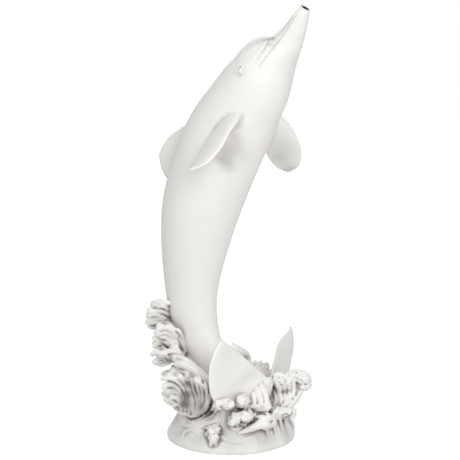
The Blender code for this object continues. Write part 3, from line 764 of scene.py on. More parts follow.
@dataclass
class BodyShape:
    """The dolphin's body, forehead, beak and mouth, as rings along its curved middle line."""

    # Each station is the centre's x and z, the depth to the back and to the belly, and half the width
    stations: tuple = (
        (0.088, 0.122, 0.006, 0.006, 0.010),
        (0.080, 0.098, 0.011, 0.011, 0.014),
        (0.058, 0.076, 0.017, 0.017, 0.017),
        (0.020, 0.074, 0.023, 0.023, 0.020),
        (-0.018, 0.098, 0.029, 0.029, 0.024),
        (-0.047, 0.140, 0.036, 0.036, 0.028),
        (-0.076, 0.188, 0.044, 0.044, 0.034),
        (-0.093, 0.243, 0.051, 0.051, 0.041),
        (-0.096, 0.302, 0.058, 0.058, 0.049),
        (-0.087, 0.382, 0.070, 0.070, 0.064),
        (-0.071, 0.454, 0.078, 0.078, 0.076),
        (-0.045, 0.522, 0.081, 0.081, 0.079),
        (-0.016, 0.584, 0.082, 0.082, 0.080),
        (0.014, 0.628, 0.079, 0.077, 0.076),
        (0.036, 0.663, 0.072, 0.071, 0.071),
        (0.060, 0.700, 0.065, 0.068, 0.065),
        (0.081, 0.727, 0.050, 0.057, 0.057),
        (0.101, 0.750, 0.036, 0.044, 0.045),
        (0.117, 0.768, 0.028, 0.036, 0.034),
        (0.126, 0.778, 0.024, 0.032, 0.027),
        (0.137, 0.793, 0.020, 0.026, 0.021),
        (0.149, 0.813, 0.0155, 0.0200, 0.016),
        (0.159, 0.830, 0.0115, 0.0135, 0.012),
        (0.1645, 0.839, 0.0090, 0.0092, 0.0095),
    )
    rings: int = 430
    dense: int = 1400
    softness: float = 0.28
    side_points: int = 22
    melon_centre: tuple[float, float] = (0.0636, 0.7253)
    melon_length: float = 0.069
    melon_depth: float = 0.048
    melon_width: float = 0.050
    melon_tilt: float = math.radians(50)
    melon_crease: float = 0.0025
    melon_near: float = 1.5
    mouth_corner: tuple[float, float] = (0.093, 0.726)
    mouth_slope: float = math.radians(60)
    mouth_depth: float = 0.0028
    mouth_width: float = 0.0042
    mouth_fade: float = 0.010
    mouth_station: float = 15.5
    mouth_most: float = 0.6
    groove_points: int = 9
    groove_sharpness: float = 1.9
    groove_most: float = 0.25
    section_step: float = 0.05
    spout_radius: float = 0.0086
    spout_lip: float = 0.0006
    spout_depth: float = 0.014
    lip_rings: int = 7
    table: np.ndarray = field(init=False)

    def __post_init__(self) -> None:
        """Samples the stations once."""
        self.table = smooth_rows(self.stations, self.dense, self.softness)

    def section(self, place: float) -> tuple[np.ndarray, np.ndarray, np.ndarray]:
        """Finds the section at a place along the body.

        Args:
            place: The place, counted in stations from the tail.

        Returns:
            The centre, the direction of the back, and the three half sizes.
        """
        last = len(self.stations) - 1
        step = self.section_step
        spots = np.array((place - step, place, place + step)).clip(0, last) / last * (self.dense - 1)
        rows = np.stack([np.interp(spots, np.arange(self.dense), column) for column in self.table.T], 1)
        way = unit(rows[2, :2] - rows[0, :2])
        return np.array((rows[1, 0], 0, rows[1, 1])), np.array((-way[1], 0, way[0])), rows[1, 2:]

    def radius(
        self, centre: np.ndarray, back: np.ndarray, sizes: np.ndarray, angle: np.ndarray
    ) -> np.ndarray:
        """Measures from the centre to the skin, over the section and the forehead.

        Args:
            centre: The section's centre.
            back: The direction of the back.
            sizes: The depth to the back, the depth to the belly and half the width.
            angle: Angles from the side towards the back.

        Returns:
            The radius at each angle.
        """
        ray = np.stack((0 * angle, np.cos(angle), 0 * angle), -1) + np.sin(angle)[:, None] * back
        depth = np.where(np.sin(angle) > 0, sizes[0], sizes[1])
        section = 1 / np.hypot(np.cos(angle) / sizes[2], np.sin(angle) / depth)
        along = np.array((math.cos(self.melon_tilt), 0, math.sin(self.melon_tilt)))
        up = np.array((-along[2], 0, along[0]))
        axes = np.array((along / self.melon_length, up / self.melon_depth, (0, 1 / self.melon_width, 0)))
        start = axes @ (centre - np.array((self.melon_centre[0], 0, self.melon_centre[1])))
        way = ray @ axes.T
        a, b, c = (way * way).sum(1), way @ start, start @ start - 1
        under = b * b - a * c
        hit = (under > 0) & (c < self.melon_near)
        melon = np.where(hit, (np.sqrt(np.maximum(under, 0)) - b) / a, 0)
        blend = np.maximum(self.melon_crease - np.abs(section - melon), 0) / self.melon_crease
        return np.maximum(section, melon) + blend**2 * self.melon_crease / 4

    def mouth(self, place: float) -> tuple[float, float]:
        """Finds where the mouth's plane meets the section.

        Args:
            place: The place, counted in stations from the tail.

        Returns:
            The height, as a share of the section's depth, and the groove's depth there.
        """
        centre, back, sizes = self.section(max(place, self.mouth_station))
        slope = np.array((math.cos(self.mouth_slope), 0, math.sin(self.mouth_slope)))
        across = np.array((-slope[2], 0, slope[0]))
        corner = np.array((self.mouth_corner[0], 0, self.mouth_corner[1]))
        height = ((corner - centre) @ across) / (back @ across)
        share = height / (sizes[0] if height > 0 else sizes[1])
        past = (centre + back * height - corner) @ slope
        fade = max(0.0, min(1.0, past / self.mouth_fade)) if place > self.mouth_station else 0.0
        return max(-self.mouth_most, min(self.mouth_most, share)), self.mouth_depth * fade

    def ring(self, place: float, shrink: float = 1.0, shift: float = 0.0) -> np.ndarray:
        """Draws one ring of the skin, with a groove at each side of the mouth.

        Args:
            place: The place, counted in stations from the tail.
            shrink: Scales the ring about its centre.
            shift: Moves the ring along the body, in metres.

        Returns:
            The ring's points.
        """
        centre, back, sizes = self.section(place)
        share, depth = self.mouth(place)
        reach = sizes[0] if share > 0 else sizes[1]
        mouth = math.atan2(share * reach, sizes[2] * math.sqrt(1 - share**2))
        lip = min(self.mouth_width / 2 / sizes[2], self.groove_most)
        quarter = math.pi / 2
        belly = np.linspace(-quarter, mouth - lip, self.side_points, endpoint=False)
        groove = np.linspace(mouth - lip, mouth + lip, self.groove_points)
        top = np.linspace(mouth + lip, quarter, self.side_points + 1)[1:]
        half = np.concatenate((belly, groove, top))
        cut = depth * np.exp(-(((half - mouth) / lip * self.groove_sharpness) ** 2))
        radius = (self.radius(centre, back, sizes, half) - cut) * shrink
        forward = np.array((back[2], 0, -back[0]))
        line = centre + forward * shift + (radius * np.sin(half))[:, None] * back
        side = radius * np.cos(half)
        right = line + np.stack((0 * side, -side, 0 * side), 1)
        left = line + np.stack((0 * side, side, 0 * side), 1)
        return np.vstack((right, left[-2:0:-1]))

    def rings_to_tip(self) -> np.ndarray:
        """Draws all rings from the tail stock to the spout's hole in the beak's tip."""
        last = len(self.stations) - 1
        places = np.linspace(0, last, self.rings)
        rings = [self.ring(place) for place in places]
        tip = rings[-1]
        centre, back, _ = self.section(last)
        forward = np.array((back[2], 0, -back[0]))
        spokes = tip - centre
        reach = np.linalg.norm(spokes, axis=1, keepdims=True)
        hole = spokes / reach * self.spout_radius
        for i in range(1, self.lip_rings + 1):
            turn = math.pi * i / self.lip_rings
            share = (1 - math.cos(turn)) / 2
            bulge = forward * self.spout_lip * math.sin(turn)
            rings.append(centre + spokes * (1 - share) + hole * share + bulge)
        rings.append(centre + hole - forward * self.spout_depth)
        return np.array(rings)

    def height_over(self, points: np.ndarray) -> tuple[np.ndarray, np.ndarray]:
        """Measures how far points stand over the skin.

        Args:
            points: The points.

        Returns:
            The height of each point, less than 0 inside, and the skin's outward direction there.
        """
        centres = np.stack((self.table[:, 0], 0 * self.table[:, 0], self.table[:, 1]), 1)
        heights, ways = [], []
        last = len(self.stations) - 1
        for point in points:
            flat = (centres - point)[:, (0, 2)]
            nearest = int((flat**2).sum(1).argmin())
            centre, back, sizes = self.section(nearest / (self.dense - 1) * last)
            spoke = point - centre
            angle = math.atan2(spoke @ back, abs(spoke[1]))
            skin = self.radius(centre, back, sizes, np.array((angle,)))[0]
            heights.append(np.linalg.norm(spoke) - skin)
            ways.append(unit(spoke))
        return np.array(heights), np.array(ways)


@dataclass
class Fin:
    """A fin, flipper or fluke: a blade through its chords that flares into the body at its root."""

    # Each chord is its leading end, its trailing end and the thickness there
    chords: tuple
    side: int = 1
    roll: float = 0.0
    hinge_height: float = 0.0
    fillet: float = 0.010
    rows: int = 70
    columns: int = 72
    sharpness: float = 0.30

    def rings(self, body: BodyShape) -> np.ndarray:
        """Draws the blade's rings.

        Args:
            body: The body that the blade grows out of.

        Returns:
            The rings, from inside the body to the tip.
        """
        table = []
        for lead, trail, thick in self.chords:
            front = (lead[0], self.side * lead[1], lead[2])
            back = (trail[0], self.side * trail[1], trail[2])
            table.append((*front, *back, thick))
        rows = smooth_rows(table, self.rows)
        middles = (rows[:, :3] + rows[:, 3:6]) / 2
        turn = np.array(
            (
                (1, 0, 0),
                (0, math.cos(self.roll), math.sin(self.roll)),
                (0, -math.sin(self.roll), math.cos(self.roll)),
            )
        )
        hinge = np.array((0, 0, self.hinge_height))
        angle = np.linspace(0, 2 * math.pi, self.columns, endpoint=False)
        drawn, outward = [], []
        for i, row in enumerate(rows):
            path = middles[min(i + 1, self.rows - 1)] - middles[max(i - 1, 0)]
            chord = (row[:3] - row[3:6]) / 2
            face = unit(np.cross(chord, path))
            thick = row[6] / 2 * np.sin(angle) * (1 + self.sharpness * np.cos(angle))
            drawn.append(middles[i] + np.cos(angle)[:, None] * chord + thick[:, None] * face)
            width = np.linalg.norm(chord)
            lean = np.cos(angle)[:, None] * unit(chord) / width + np.sin(angle)[:, None] * face / (row[6] / 2)
            outward.append(unit(lean))
        points = (np.array(drawn).reshape(-1, 3) - hinge) @ turn.T + hinge
        lean = np.array(outward).reshape(-1, 3) @ turn.T
        height, up = body.height_over(points)
        lean = unit(lean - up * (lean * up).sum(1, keepdims=True))
        inside = np.clip(1 - height / self.fillet, 0, 1)
        flare = self.fillet * (1 - np.sqrt(np.maximum(1 - inside**2, 0)))
        points = points + lean * flare[:, None]
        return points.reshape(self.rows, self.columns, 3)


FIN_CHORDS = (
    ((-0.060, 0.0, 0.600), (-0.090, 0.0, 0.486), 0.034),
    ((-0.074, 0.0, 0.606), (-0.108, 0.0, 0.482), 0.030),
    ((-0.098, 0.0, 0.613), (-0.138, 0.0, 0.486), 0.021),
    ((-0.124, 0.0, 0.601), (-0.152, 0.0, 0.496), 0.015),
    ((-0.150, 0.0, 0.583), (-0.164, 0.0, 0.511), 0.011),
    ((-0.166, 0.0, 0.563), (-0.171, 0.0, 0.527), 0.008),
    ((-0.173, 0.0, 0.549), (-0.1735, 0.0, 0.540), 0.004),
)
FLIPPER_CHORDS = (
    ((0.040, -0.038, 0.646), (0.006, -0.046, 0.602), 0.034),
    ((0.064, -0.062, 0.642), (0.012, -0.072, 0.596), 0.025),
    ((0.073, -0.084, 0.629), (0.012, -0.092, 0.585), 0.018),
    ((0.077, -0.112, 0.606), (0.012, -0.112, 0.564), 0.014),
    ((0.076, -0.138, 0.574), (0.014, -0.131, 0.547), 0.011),
    ((0.061, -0.158, 0.546), (0.020, -0.150, 0.535), 0.008),
    ((0.036, -0.170, 0.533), (0.028, -0.167, 0.529), 0.004),
)
FLUKE_CHORDS = (
    ((0.058, 0.006, 0.066), (0.090, 0.006, 0.120), 0.022),
    ((0.052, -0.047, 0.066), (0.086, -0.014, 0.136), 0.018),
    ((0.048, -0.098, 0.078), (0.076, -0.030, 0.150), 0.015),
    ((0.046, -0.130, 0.103), (0.069, -0.046, 0.165), 0.013),
    ((0.046, -0.143, 0.137), (0.062, -0.062, 0.179), 0.011),
    ((0.049, -0.145, 0.170), (0.058, -0.083, 0.193), 0.009),
    ((0.052, -0.135, 0.197), (0.058, -0.107, 0.206), 0.007),
    ((0.053, -0.124, 0.212), (0.055, -0.117, 0.214), 0.004),
)
FLIPPER_ROLL = math.radians(6.5)
FLUKE_ROLL = math.radians(5.5)
FLIPPER_HINGE_HEIGHT = 0.620
FLUKE_HINGE_HEIGHT = 0.095


def ring_faces(turns: int, sides: int) -> list[tuple[int, ...]]:
    """Lists the faces of a bar that is bent into a closed ring.

    Args:
        turns: How many sections the ring has.
        sides: How many points each section has.

    Returns:
        The faces.
    """
    faces = []
    for r in range(turns):
        n = (r + 1) % turns
        for k in range(sides):
            m = (k + 1) % sides
            faces.append((r * sides + k, r * sides + m, n * sides + m, n * sides + k))
    return faces


@dataclass
class Eyes:
    """The two eyes: an almond ball inside a raised lid."""

    centre: tuple[float, float] = (0.064, 0.725)
    span: float = 0.0575
    length: float = 0.0098
    height: float = 0.0070
    bulge: float = 0.0040
    lid: float = 0.0016
    lid_flare: float = 2.0
    tilt: float = math.radians(72)
    turns: int = 48
    sides: int = 12
    ball_share: float = 0.86
    ball_rings: int = 22
    ball_pole: float = 0.999

    def add_to(self, shells: Shells) -> None:
        """Adds both eyes to a mesh."""
        along = np.array((math.cos(self.tilt), 0, math.sin(self.tilt)))
        up = np.array((-along[2], 0, along[0]))
        angle = np.linspace(0, 2 * math.pi, self.turns, endpoint=False)
        for side in (-1, 1):
            out = np.array((0.0, side, 0.0))
            centre = np.array((self.centre[0], side * self.span, self.centre[1]))
            rings = []
            for lift in np.linspace(-self.ball_pole, self.ball_pole, self.ball_rings):
                wide = math.sqrt(1 - lift**2)
                plan = np.cos(angle)[:, None] * along * self.length * self.ball_share
                plan = plan + np.sin(angle)[:, None] * up * self.height * self.ball_share
                rings.append(centre + plan * wide + out * lift * self.bulge * 2)
            shells.add_loft(np.array(rings))
            rows = []
            for t in angle:
                middle = centre + out * self.bulge
                middle = middle + along * self.length * math.cos(t) + up * self.height * math.sin(t)
                away = unit(along * math.cos(t) + up * math.sin(t))
                turn = np.linspace(0, 2 * math.pi, self.sides, endpoint=False)
                rim = np.cos(turn)[:, None] * away + np.sin(turn)[:, None] * out * self.lid_flare
                rows.append(middle + rim * self.lid)
            shells.add(np.array(rows), ring_faces(self.turns, self.sides))


@dataclass
class SpoutShadeRing:
    """The black rubber ring round the water tube's end, in the beak's tip, which fills the hole's gap round
    the tube with black: partly a dark ring put where there is only shade.
    """

    finish: bpy.types.Material
    body: BodyShape = field(default_factory=BodyShape)
    radius: float = 0.0069
    bar: float = 0.0018
    sink: float = 0.0016
    turns: int = 64
    sides: int = 14

    def build(self) -> bpy.types.Object:
        """Builds the ring.

        Returns:
            The piece.
        """
        centre, back, _ = self.body.section(len(self.body.stations) - 1)
        forward = np.array((back[2], 0, -back[0]))
        centre = centre - forward * self.sink
        across = np.array((0.0, 1.0, 0.0))
        turn = np.linspace(0, 2 * math.pi, self.sides, endpoint=False)
        points = []
        for r in range(self.turns):
            angle = 2 * math.pi * r / self.turns
            away = across * math.cos(angle) + back * math.sin(angle)
            rim = np.cos(turn)[:, None] * away + np.sin(turn)[:, None] * forward
            points.append(centre + away * self.radius + rim * self.bar)
        shells = Shells()
        shells.add(np.array(points), ring_faces(self.turns, self.sides))
        piece = shells.make("spout_liner")
        piece.data.materials.append(self.finish)
        return piece


@dataclass
class Dolphin:
    """The dolphin above the water: body, fins and eyes in one piece."""

    finish: StoneResin
    body: BodyShape = field(default_factory=BodyShape)
    # The crease in front of the forehead, seen from the side: x, z and its share of the full depth
    crease: tuple = (
        (0.102, 0.800, 1.0),
        (0.100, 0.784, 1.0),
        (0.099, 0.769, 1.0),
        (0.094, 0.756, 0.8),
        (0.088, 0.745, 0.6),
        (0.080, 0.732, 0.2),
        (0.076, 0.724, 0.0),
    )
    crease_depth: float = 0.0030
    crease_width: float = 0.0030
    brow_height: float = 0.0016
    brow_width: float = 0.0075

    def carve_crease(self, piece: bpy.types.Object) -> None:
        """Sinks the crease between the forehead and the upper jaw, and swells the brow behind it.

        Args:
            piece: The dolphin.
        """
        points = points_of(piece)
        normals = normals_of(piece)
        curve = smooth_rows(self.crease, 80)
        away = points[:, None, (0, 2)] - curve[None, :, :2]
        distance = np.linalg.norm(away, axis=2)
        nearest = distance.argmin(1)
        rows = np.arange(len(points))
        distance, away = distance[rows, nearest], away[rows, nearest]
        way = np.gradient(curve[:, :2], axis=0)[nearest]
        behind = (way[:, 0] * away[:, 1] - way[:, 1] * away[:, 0]) < 0
        share = curve[nearest, 2]
        dig = self.crease_depth * np.exp(-((distance / self.crease_width) ** 2))
        swell = self.brow_height * np.exp(-((distance / self.brow_width) ** 2)) * behind
        points = points + normals * ((swell - dig) * share)[:, None]
        piece.data.vertices.foreach_set("co", points.ravel())
        piece.data.update()

    def build(self) -> bpy.types.Object:
        """Builds the dolphin.

        Returns:
            The piece.
        """
        shells = Shells()
        shells.add_loft(self.body.rings_to_tip())
        fins = [Fin(FIN_CHORDS, fillet=0.010)]
        for side in (1, -1):
            fins.append(Fin(FLIPPER_CHORDS, side, FLIPPER_ROLL, FLIPPER_HINGE_HEIGHT, fillet=0.005))
            fins.append(Fin(FLUKE_CHORDS, side, FLUKE_ROLL, FLUKE_HINGE_HEIGHT, fillet=0.006))
        for fin in fins:
            shells.add_loft(fin.rings(self.body))
        Eyes().add_to(shells)
        piece = shells.make("dolphin")
        self.carve_crease(piece)
        write_recess(piece)
        piece.data.materials.append(self.finish.make())
        return piece


# The waves


@dataclass
class Breaker:
    """A breaking crest: a ribbed sheet that fans out from its hinge and curls over at a lobed lip."""

    hinge: tuple[float, float, float]
    reach_way: tuple[float, float, float]
    curl_way: tuple[float, float, float]
    length: float
    spread: float
    curl: float
    ribs: int
    first_end: float
    last_end: float
    root_thickness: float = 0.020
    lip_thickness: float = 0.0065
    rib_height: float = 0.0050
    scallop: float = 0.13
    steps: int = 26
    rib_columns: int = 10
    end_share: float = 0.3
    root_offset: float = 0.006
    unevenness: float = 0.35
    length_share: float = 0.3
    curl_share: float = 0.5
    neighbour_share: float = 0.5
    rib_floor: float = 0.6
    rib_start: float = 0.15
    rib_rise: float = 1.2
    end_thickness: float = 0.5

    def _axes(self) -> tuple[np.ndarray, np.ndarray, np.ndarray]:
        """The directions in which the fan reaches, curls and spreads."""
        reach = unit(np.array(self.reach_way, float))
        curl = np.array(self.curl_way, float)
        curl = unit(curl - reach * (curl @ reach))
        return reach, curl, np.cross(curl, reach)

    def add_to(self, shells: Shells, seed: int) -> None:
        """Adds the ribbed sheet to a mesh.

        Args:
            shells: The mesh.
            seed: Chooses the ribs' uneven widths and lengths.
        """
        chance = np.random.default_rng(seed)
        widths = 1 + self.unevenness * chance.uniform(-1, 1, self.ribs)
        borders = np.concatenate(((0,), np.cumsum(widths))) / widths.sum()
        lengths = 1 + self.length_share * self.unevenness * chance.uniform(-1, 1, self.ribs)
        curls = 1 + self.curl_share * self.unevenness * chance.uniform(-1, 1, self.ribs)
        reach_way, curl_way, across = self._axes()
        spread = math.radians(self.spread)
        v = np.linspace(0, 1, self.steps + 1)[:, None]
        rings = []
        for k in range(self.ribs):
            for c in range(self.rib_columns + (k == self.ribs - 1)):
                within = c / self.rib_columns
                share = borders[k] + (borders[k + 1] - borders[k]) * within
                dome = math.sqrt(max(0.0, 1 - (2 * within - 1) ** 2))
                neighbour = max(0, k - 1) if within < 0.5 else min(self.ribs - 1, k + 1)
                mix = self.neighbour_share * abs(2 * within - 1) ** 2
                stretch = lengths[k] * (1 - mix) + lengths[neighbour] * mix
                curl = math.radians(self.curl) * (curls[k] * (1 - mix) + curls[neighbour] * mix)
                inward = min(share, 1 - share) / self.end_share
                ease = math.sin(math.pi / 2 * max(0, min(1, inward)))
                end = self.first_end if share < 0.5 else self.last_end
                reach = self.length * stretch * (end + (1 - end) * ease) * (1 - self.scallop * (1 - dome))
                turn = (share - 0.5) * spread
                ray = reach_way * math.cos(turn) + across * math.sin(turn)
                out = reach * np.sin(curl * v) / curl + self.root_offset
                over = reach * (1 - np.cos(curl * v)) / curl
                face = curl_way * np.cos(curl * v) - ray * np.sin(curl * v)
                thick = self.root_thickness + (self.lip_thickness - self.root_thickness) * v
                thick = thick * (self.end_thickness + (1 - self.end_thickness) * ease) / 2
                rise = np.minimum(1, self.rib_start + self.rib_rise * v)
                rib = self.rib_height * (dome - self.rib_floor) * rise
                middle = np.array(self.hinge) + ray * out + curl_way * over
                front = middle + face * (thick + rib)
                rear = middle - face * (thick + rib)
                rings.append(np.vstack((front, rear[::-1])))
        shells.add_loft(np.array(rings))


@dataclass
class Plinth:
    """The round plinth, the fluted swell of water above it, the core hole and the boss for the hose tail."""

    radius: float = 0.127
    foot_height: float = 0.007
    shoulder_radius: float = 0.104
    shoulder_height: float = 0.048
    swell_foot: tuple[float, float] = (0.094, 0.064)
    swell_top: tuple[float, float] = (0.046, 0.124)
    swell_shift: float = -0.012
    swell_bulge: float = 0.012
    plinth_bulge: float = 0.002
    flutes: int = 15
    flute_depth: float = 0.004
    hollow_turn: float = math.radians(-108)
    hollow_spread: float = math.radians(30)
    hollow_depth: float = 0.030
    sides: int = 240
    rows: int = 60

    inlet_place: tuple[float, float] = (-0.047, 0.022)
    boss_radius: float = 0.016
    boss_root: float = 0.060
    boss_reach: float = 0.118
    flange_radius: float = 0.013
    flange_reach: float = 0.168
    seat_gap: float = 0.0002
    core_radius: float = 0.024
    core_height: float = 0.100
    bore_sides: int = 96
    core_start: float = -0.01

    def _cylinder(self, radius: float, start: np.ndarray, end: np.ndarray) -> Shells:
        """A plain cylinder between two points, along y or z."""
        along_y = abs(end[1] - start[1]) > abs(end[2] - start[2])
        angle = np.linspace(0, 2 * math.pi, self.bore_sides, endpoint=False)
        ring = np.zeros((self.bore_sides, 3))
        ring[:, 0] = radius * np.cos(angle)
        ring[:, 2 if along_y else 1] = radius * np.sin(angle)
        shells = Shells()
        shells.add_loft(np.array((ring + start, ring + end)))
        return shells

    def add_boss(self, shells: Shells) -> None:
        """Adds the boss that the hose tail screws into, at the back of the plinth."""
        x, z = self.inlet_place
        root, reach = (np.array((x, y, z)) for y in (self.boss_root, self.boss_reach))
        boss = self._cylinder(self.boss_radius, root, reach)
        shells.add(boss.points[0], boss.faces)

    def cutters(self) -> list[bpy.types.Object]:
        """Makes the core hole's shaft and the seat of the hose tail's flange."""
        x, z = self.inlet_place
        seat = self.boss_reach + self.seat_gap
        foot, top = (np.array((x, 0, height)) for height in (self.core_start, self.core_height))
        near, far = (np.array((x, y, z)) for y in (seat, self.flange_reach))
        shaft = self._cylinder(self.core_radius, foot, top)
        flange = self._cylinder(self.flange_radius, near, far)
        return [shaft.make("core_shaft"), flange.make("flange_seat")]

    def bore(self, pieces: list[bpy.types.Object]) -> None:
        """Cuts the core hole and the flange's seat out of the pieces.

        Args:
            pieces: The pieces.
        """
        cutters = self.cutters()
        for piece in pieces:
            for cutter in cutters:
                cut = piece.modifiers.new(cutter.name, "BOOLEAN")
                cut.operation = "DIFFERENCE"
                cut.solver = "MANIFOLD"
                cut.object = cutter
            apply_modifiers(piece)
        for cutter in cutters:
            bpy.data.objects.remove(cutter)

    def add_to(self, shells: Shells) -> None:
        """Adds the plinth and swell to a mesh."""
        slope_radius = (self.radius + self.shoulder_radius) / 2 + self.plinth_bulge
        bulge_radius = (self.swell_foot[0] + self.swell_top[0]) / 2 + self.swell_bulge
        bulge_height = (self.swell_foot[1] + self.swell_top[1]) / 2
        # Each row is a radius, a height, the shift along x, and the shares of the flutes and the hollow
        upper = (
            (self.radius, self.foot_height, 0.0, 0.0, 0.0),
            (slope_radius, self.shoulder_height / 2, 0.0, 0.2, 0.0),
            (self.shoulder_radius, self.shoulder_height, 0.0, 0.6, 0.1),
            (self.swell_foot[0], self.swell_foot[1], 0.0, 1.0, 0.8),
            (bulge_radius, bulge_height, self.swell_shift / 2, 1.0, 1.0),
            (self.swell_top[0], self.swell_top[1], self.swell_shift, 0.5, 0.3),
        )
        rows = np.vstack(((self.radius, 0.0, 0, 0, 0), smooth_rows(upper, self.rows)))
        angle = np.linspace(0, 2 * math.pi, self.sides, endpoint=False)
        off = (angle - self.hollow_turn + math.pi) % (2 * math.pi) - math.pi
        dent = np.exp(-((off / self.hollow_spread) ** 2))
        wave = (1 - np.cos(self.flutes * angle)) / 2
        rings = []
        for radius, height, shift, fluting, hollow in rows:
            reach = radius - self.flute_depth * fluting * wave - self.hollow_depth * hollow * dent
            x, y = shift + reach * np.cos(angle), reach * np.sin(angle)
            rings.append(np.stack((x, y, 0 * angle + height), 1))
        shells.add_loft(np.array(rings))


@dataclass(frozen=True)
class FoamRoll:
    """A roll of foam: a round bar through places, each with its radius."""

    rows: tuple
    sides: int = 24
    steps: int = 40
    lobes: int = 3
    swell: float = 0.12

    def add_to(self, shells: Shells) -> None:
        """Adds the roll to a mesh."""
        places = smooth_rows(self.rows, self.steps + 1)
        rings = []
        side = np.array((1.0, 0, 0))
        angle = np.linspace(0, 2 * math.pi, self.sides, endpoint=False)
        for i, row in enumerate(places):
            way = unit(places[min(i + 1, self.steps)][:3] - places[max(i - 1, 0)][:3])
            side = unit(side - way * (side @ way))
            up = np.cross(way, side)
            lobe = 1 + self.swell * math.cos(2 * math.pi * self.lobes * i / self.steps)
            ring = np.cos(angle)[:, None] * side + np.sin(angle)[:, None] * up
            rings.append(row[:3] + ring * row[3] * lobe)
        shells.add_loft(np.array(rings))


def add_balls(
    shells: Shells, places: list[tuple], share: float, sides: int = 20, rings: int = 12, pole: float = 0.98
) -> None:
    """Adds balls to a mesh.

    Args:
        shells: The mesh.
        places: The balls' centres and radii.
        share: Scales the radii.
        sides: How many points a ring has.
        rings: How many rings a ball has.
        pole: How far up and down the last rings lie, in radii.
    """
    angle = np.linspace(0, 2 * math.pi, sides, endpoint=False)
    for x, y, z, radius in places:
        rows = []
        for lift in np.linspace(-pole, pole, rings):
            wide = math.sqrt(1 - lift**2)
            plan = np.stack((np.cos(angle) * wide, np.sin(angle) * wide, 0 * angle + lift), 1)
            rows.append(np.array((x, y, z)) + plan * radius * share)
        shells.add_loft(np.array(rows))


class RibLines:
    """Lines along which ribs run, and points at which beads sit, for the Geometry Nodes."""

    def __init__(self) -> None:
        """Starts with no line."""
        self.ribs: list[tuple[np.ndarray, np.ndarray]] = []
        self.beads: list[tuple[np.ndarray, float]] = []

    def add_rib(self, path: np.ndarray, sizes: np.ndarray) -> None:
        """Adds a rib's line and its radii, with a bead that rounds each end."""
        self.ribs.append((path, sizes))
        self.beads.append((path[0], float(sizes[0])))
        self.beads.append((path[-1], float(sizes[-1])))

    @staticmethod
    def _object(name: str, points: np.ndarray, edges: list, sizes: np.ndarray) -> bpy.types.Object:
        """Makes an object of points and edges with the attribute thickness."""
        mesh = bpy.data.meshes.new(name)
        mesh.from_pydata(points.tolist(), edges, [])
        layer = mesh.attributes.new("thickness", "FLOAT", "POINT")
        layer.data.foreach_set("value", sizes)
        made = bpy.data.objects.new(name, mesh)
        bpy.context.scene.collection.objects.link(made)
        return made

    def grow(self, kit: GeometryKit, material: bpy.types.Material) -> list[bpy.types.Object]:
        """Turns the lines and points into ribs and beads.

        Args:
            kit: The Geometry Nodes trees.
            material: The finish they are given.

        Returns:
            The objects.
        """
        made = []
        if self.ribs:
            points = np.vstack([path for path, _ in self.ribs])
            sizes = np.concatenate([radii for _, radii in self.ribs])
            edges, start = [], 0
            for path, _ in self.ribs:
                edges += [(start + i, start + i + 1) for i in range(len(path) - 1)]
                start += len(path)
            ribs = self._object("rib_lines", points, edges, sizes)
            made.append(kit.run(ribs, kit.ribs, sides=12, material=material))
        if self.beads:
            points = np.array([point for point, _ in self.beads])
            beads = self._object("bead_points", points, [], np.array([size for _, size in self.beads]))
            made.append(kit.run(beads, kit.beads, size_scale=1.0, material=material))
        return made


class Relief:
    """The carrying forms of the waves, on which strands and lumps are set where the photograph shows them."""

    # Samples between two rows of a strand, and how many samples the median and the mean of its depth take
    STEPS = 5
    MEDIAN_SPAN = 7
    MEAN_SPAN = 5
    # The nearness, in metres, of a strand with no form behind it
    SPARE = 0.030

    def __init__(self, view: PhotoView, shells: list[Shells]) -> None:
        """Keeps the view and the carrying forms."""
        self.view = view
        points = np.vstack([np.vstack(shell.points) for shell in shells])
        faces, start = [], 0
        for shell in shells:
            faces += [tuple(start + i for i in face) for face in shell.faces]
            start += shell.count
        self.tree = BVHTree.FromPolygons([tuple(point) for point in points], faces)

    def nearness(self, across: float, down: float) -> float:
        """How near to the camera the first form under a pixel is, or not a number."""
        ray = self.view.ray(across, down)
        spot, _, _, _ = self.tree.ray_cast(Vector(self.view.place()), Vector(ray))
        return math.nan if spot is None else self.view.nearness(np.array(spot))

    def lay(self, rows: tuple, lift: float) -> tuple[np.ndarray, np.ndarray]:
        """Lays a strand on the forms.

        Args:
            rows: Its pixels across and down, its radius in pixels and, where the strand doesn't follow the
                form behind it, its nearness in metres.
            lift: How far its middle stands off the form, in radii.

        Returns:
            The strand's points and radii.
        """
        count = self.STEPS * (len(rows) - 1) + 1
        samples = smooth_rows(rows, count)
        if len(rows[0]) == 3:
            depth = np.array([self.nearness(across, down) for across, down, _ in samples])
            known = ~np.isnan(depth)
            if not known.any():
                LOG.warning("the strand at %s has no form behind it", rows[0][:2])
                depth[0], known[0] = self.SPARE, True
            steps = np.arange(count)
            depth = np.interp(steps, steps[known], depth[known])
            padded = np.pad(depth, self.MEDIAN_SPAN // 2, "edge")
            middle = np.array([np.median(padded[i : i + self.MEDIAN_SPAN]) for i in range(count)])
            padded = np.pad(middle, self.MEAN_SPAN // 2, "edge")
            depth = np.convolve(padded, np.ones(self.MEAN_SPAN) / self.MEAN_SPAN, "valid")
        else:
            depth = samples[:, 3]
        sizes = samples[:, 2] * np.array([self.view.pixel_size(value) for value in depth])
        depth = depth + lift * sizes
        path = [self.view.at(row[0], row[1], value) for row, value in zip(samples, depth)]
        return np.array(path), sizes


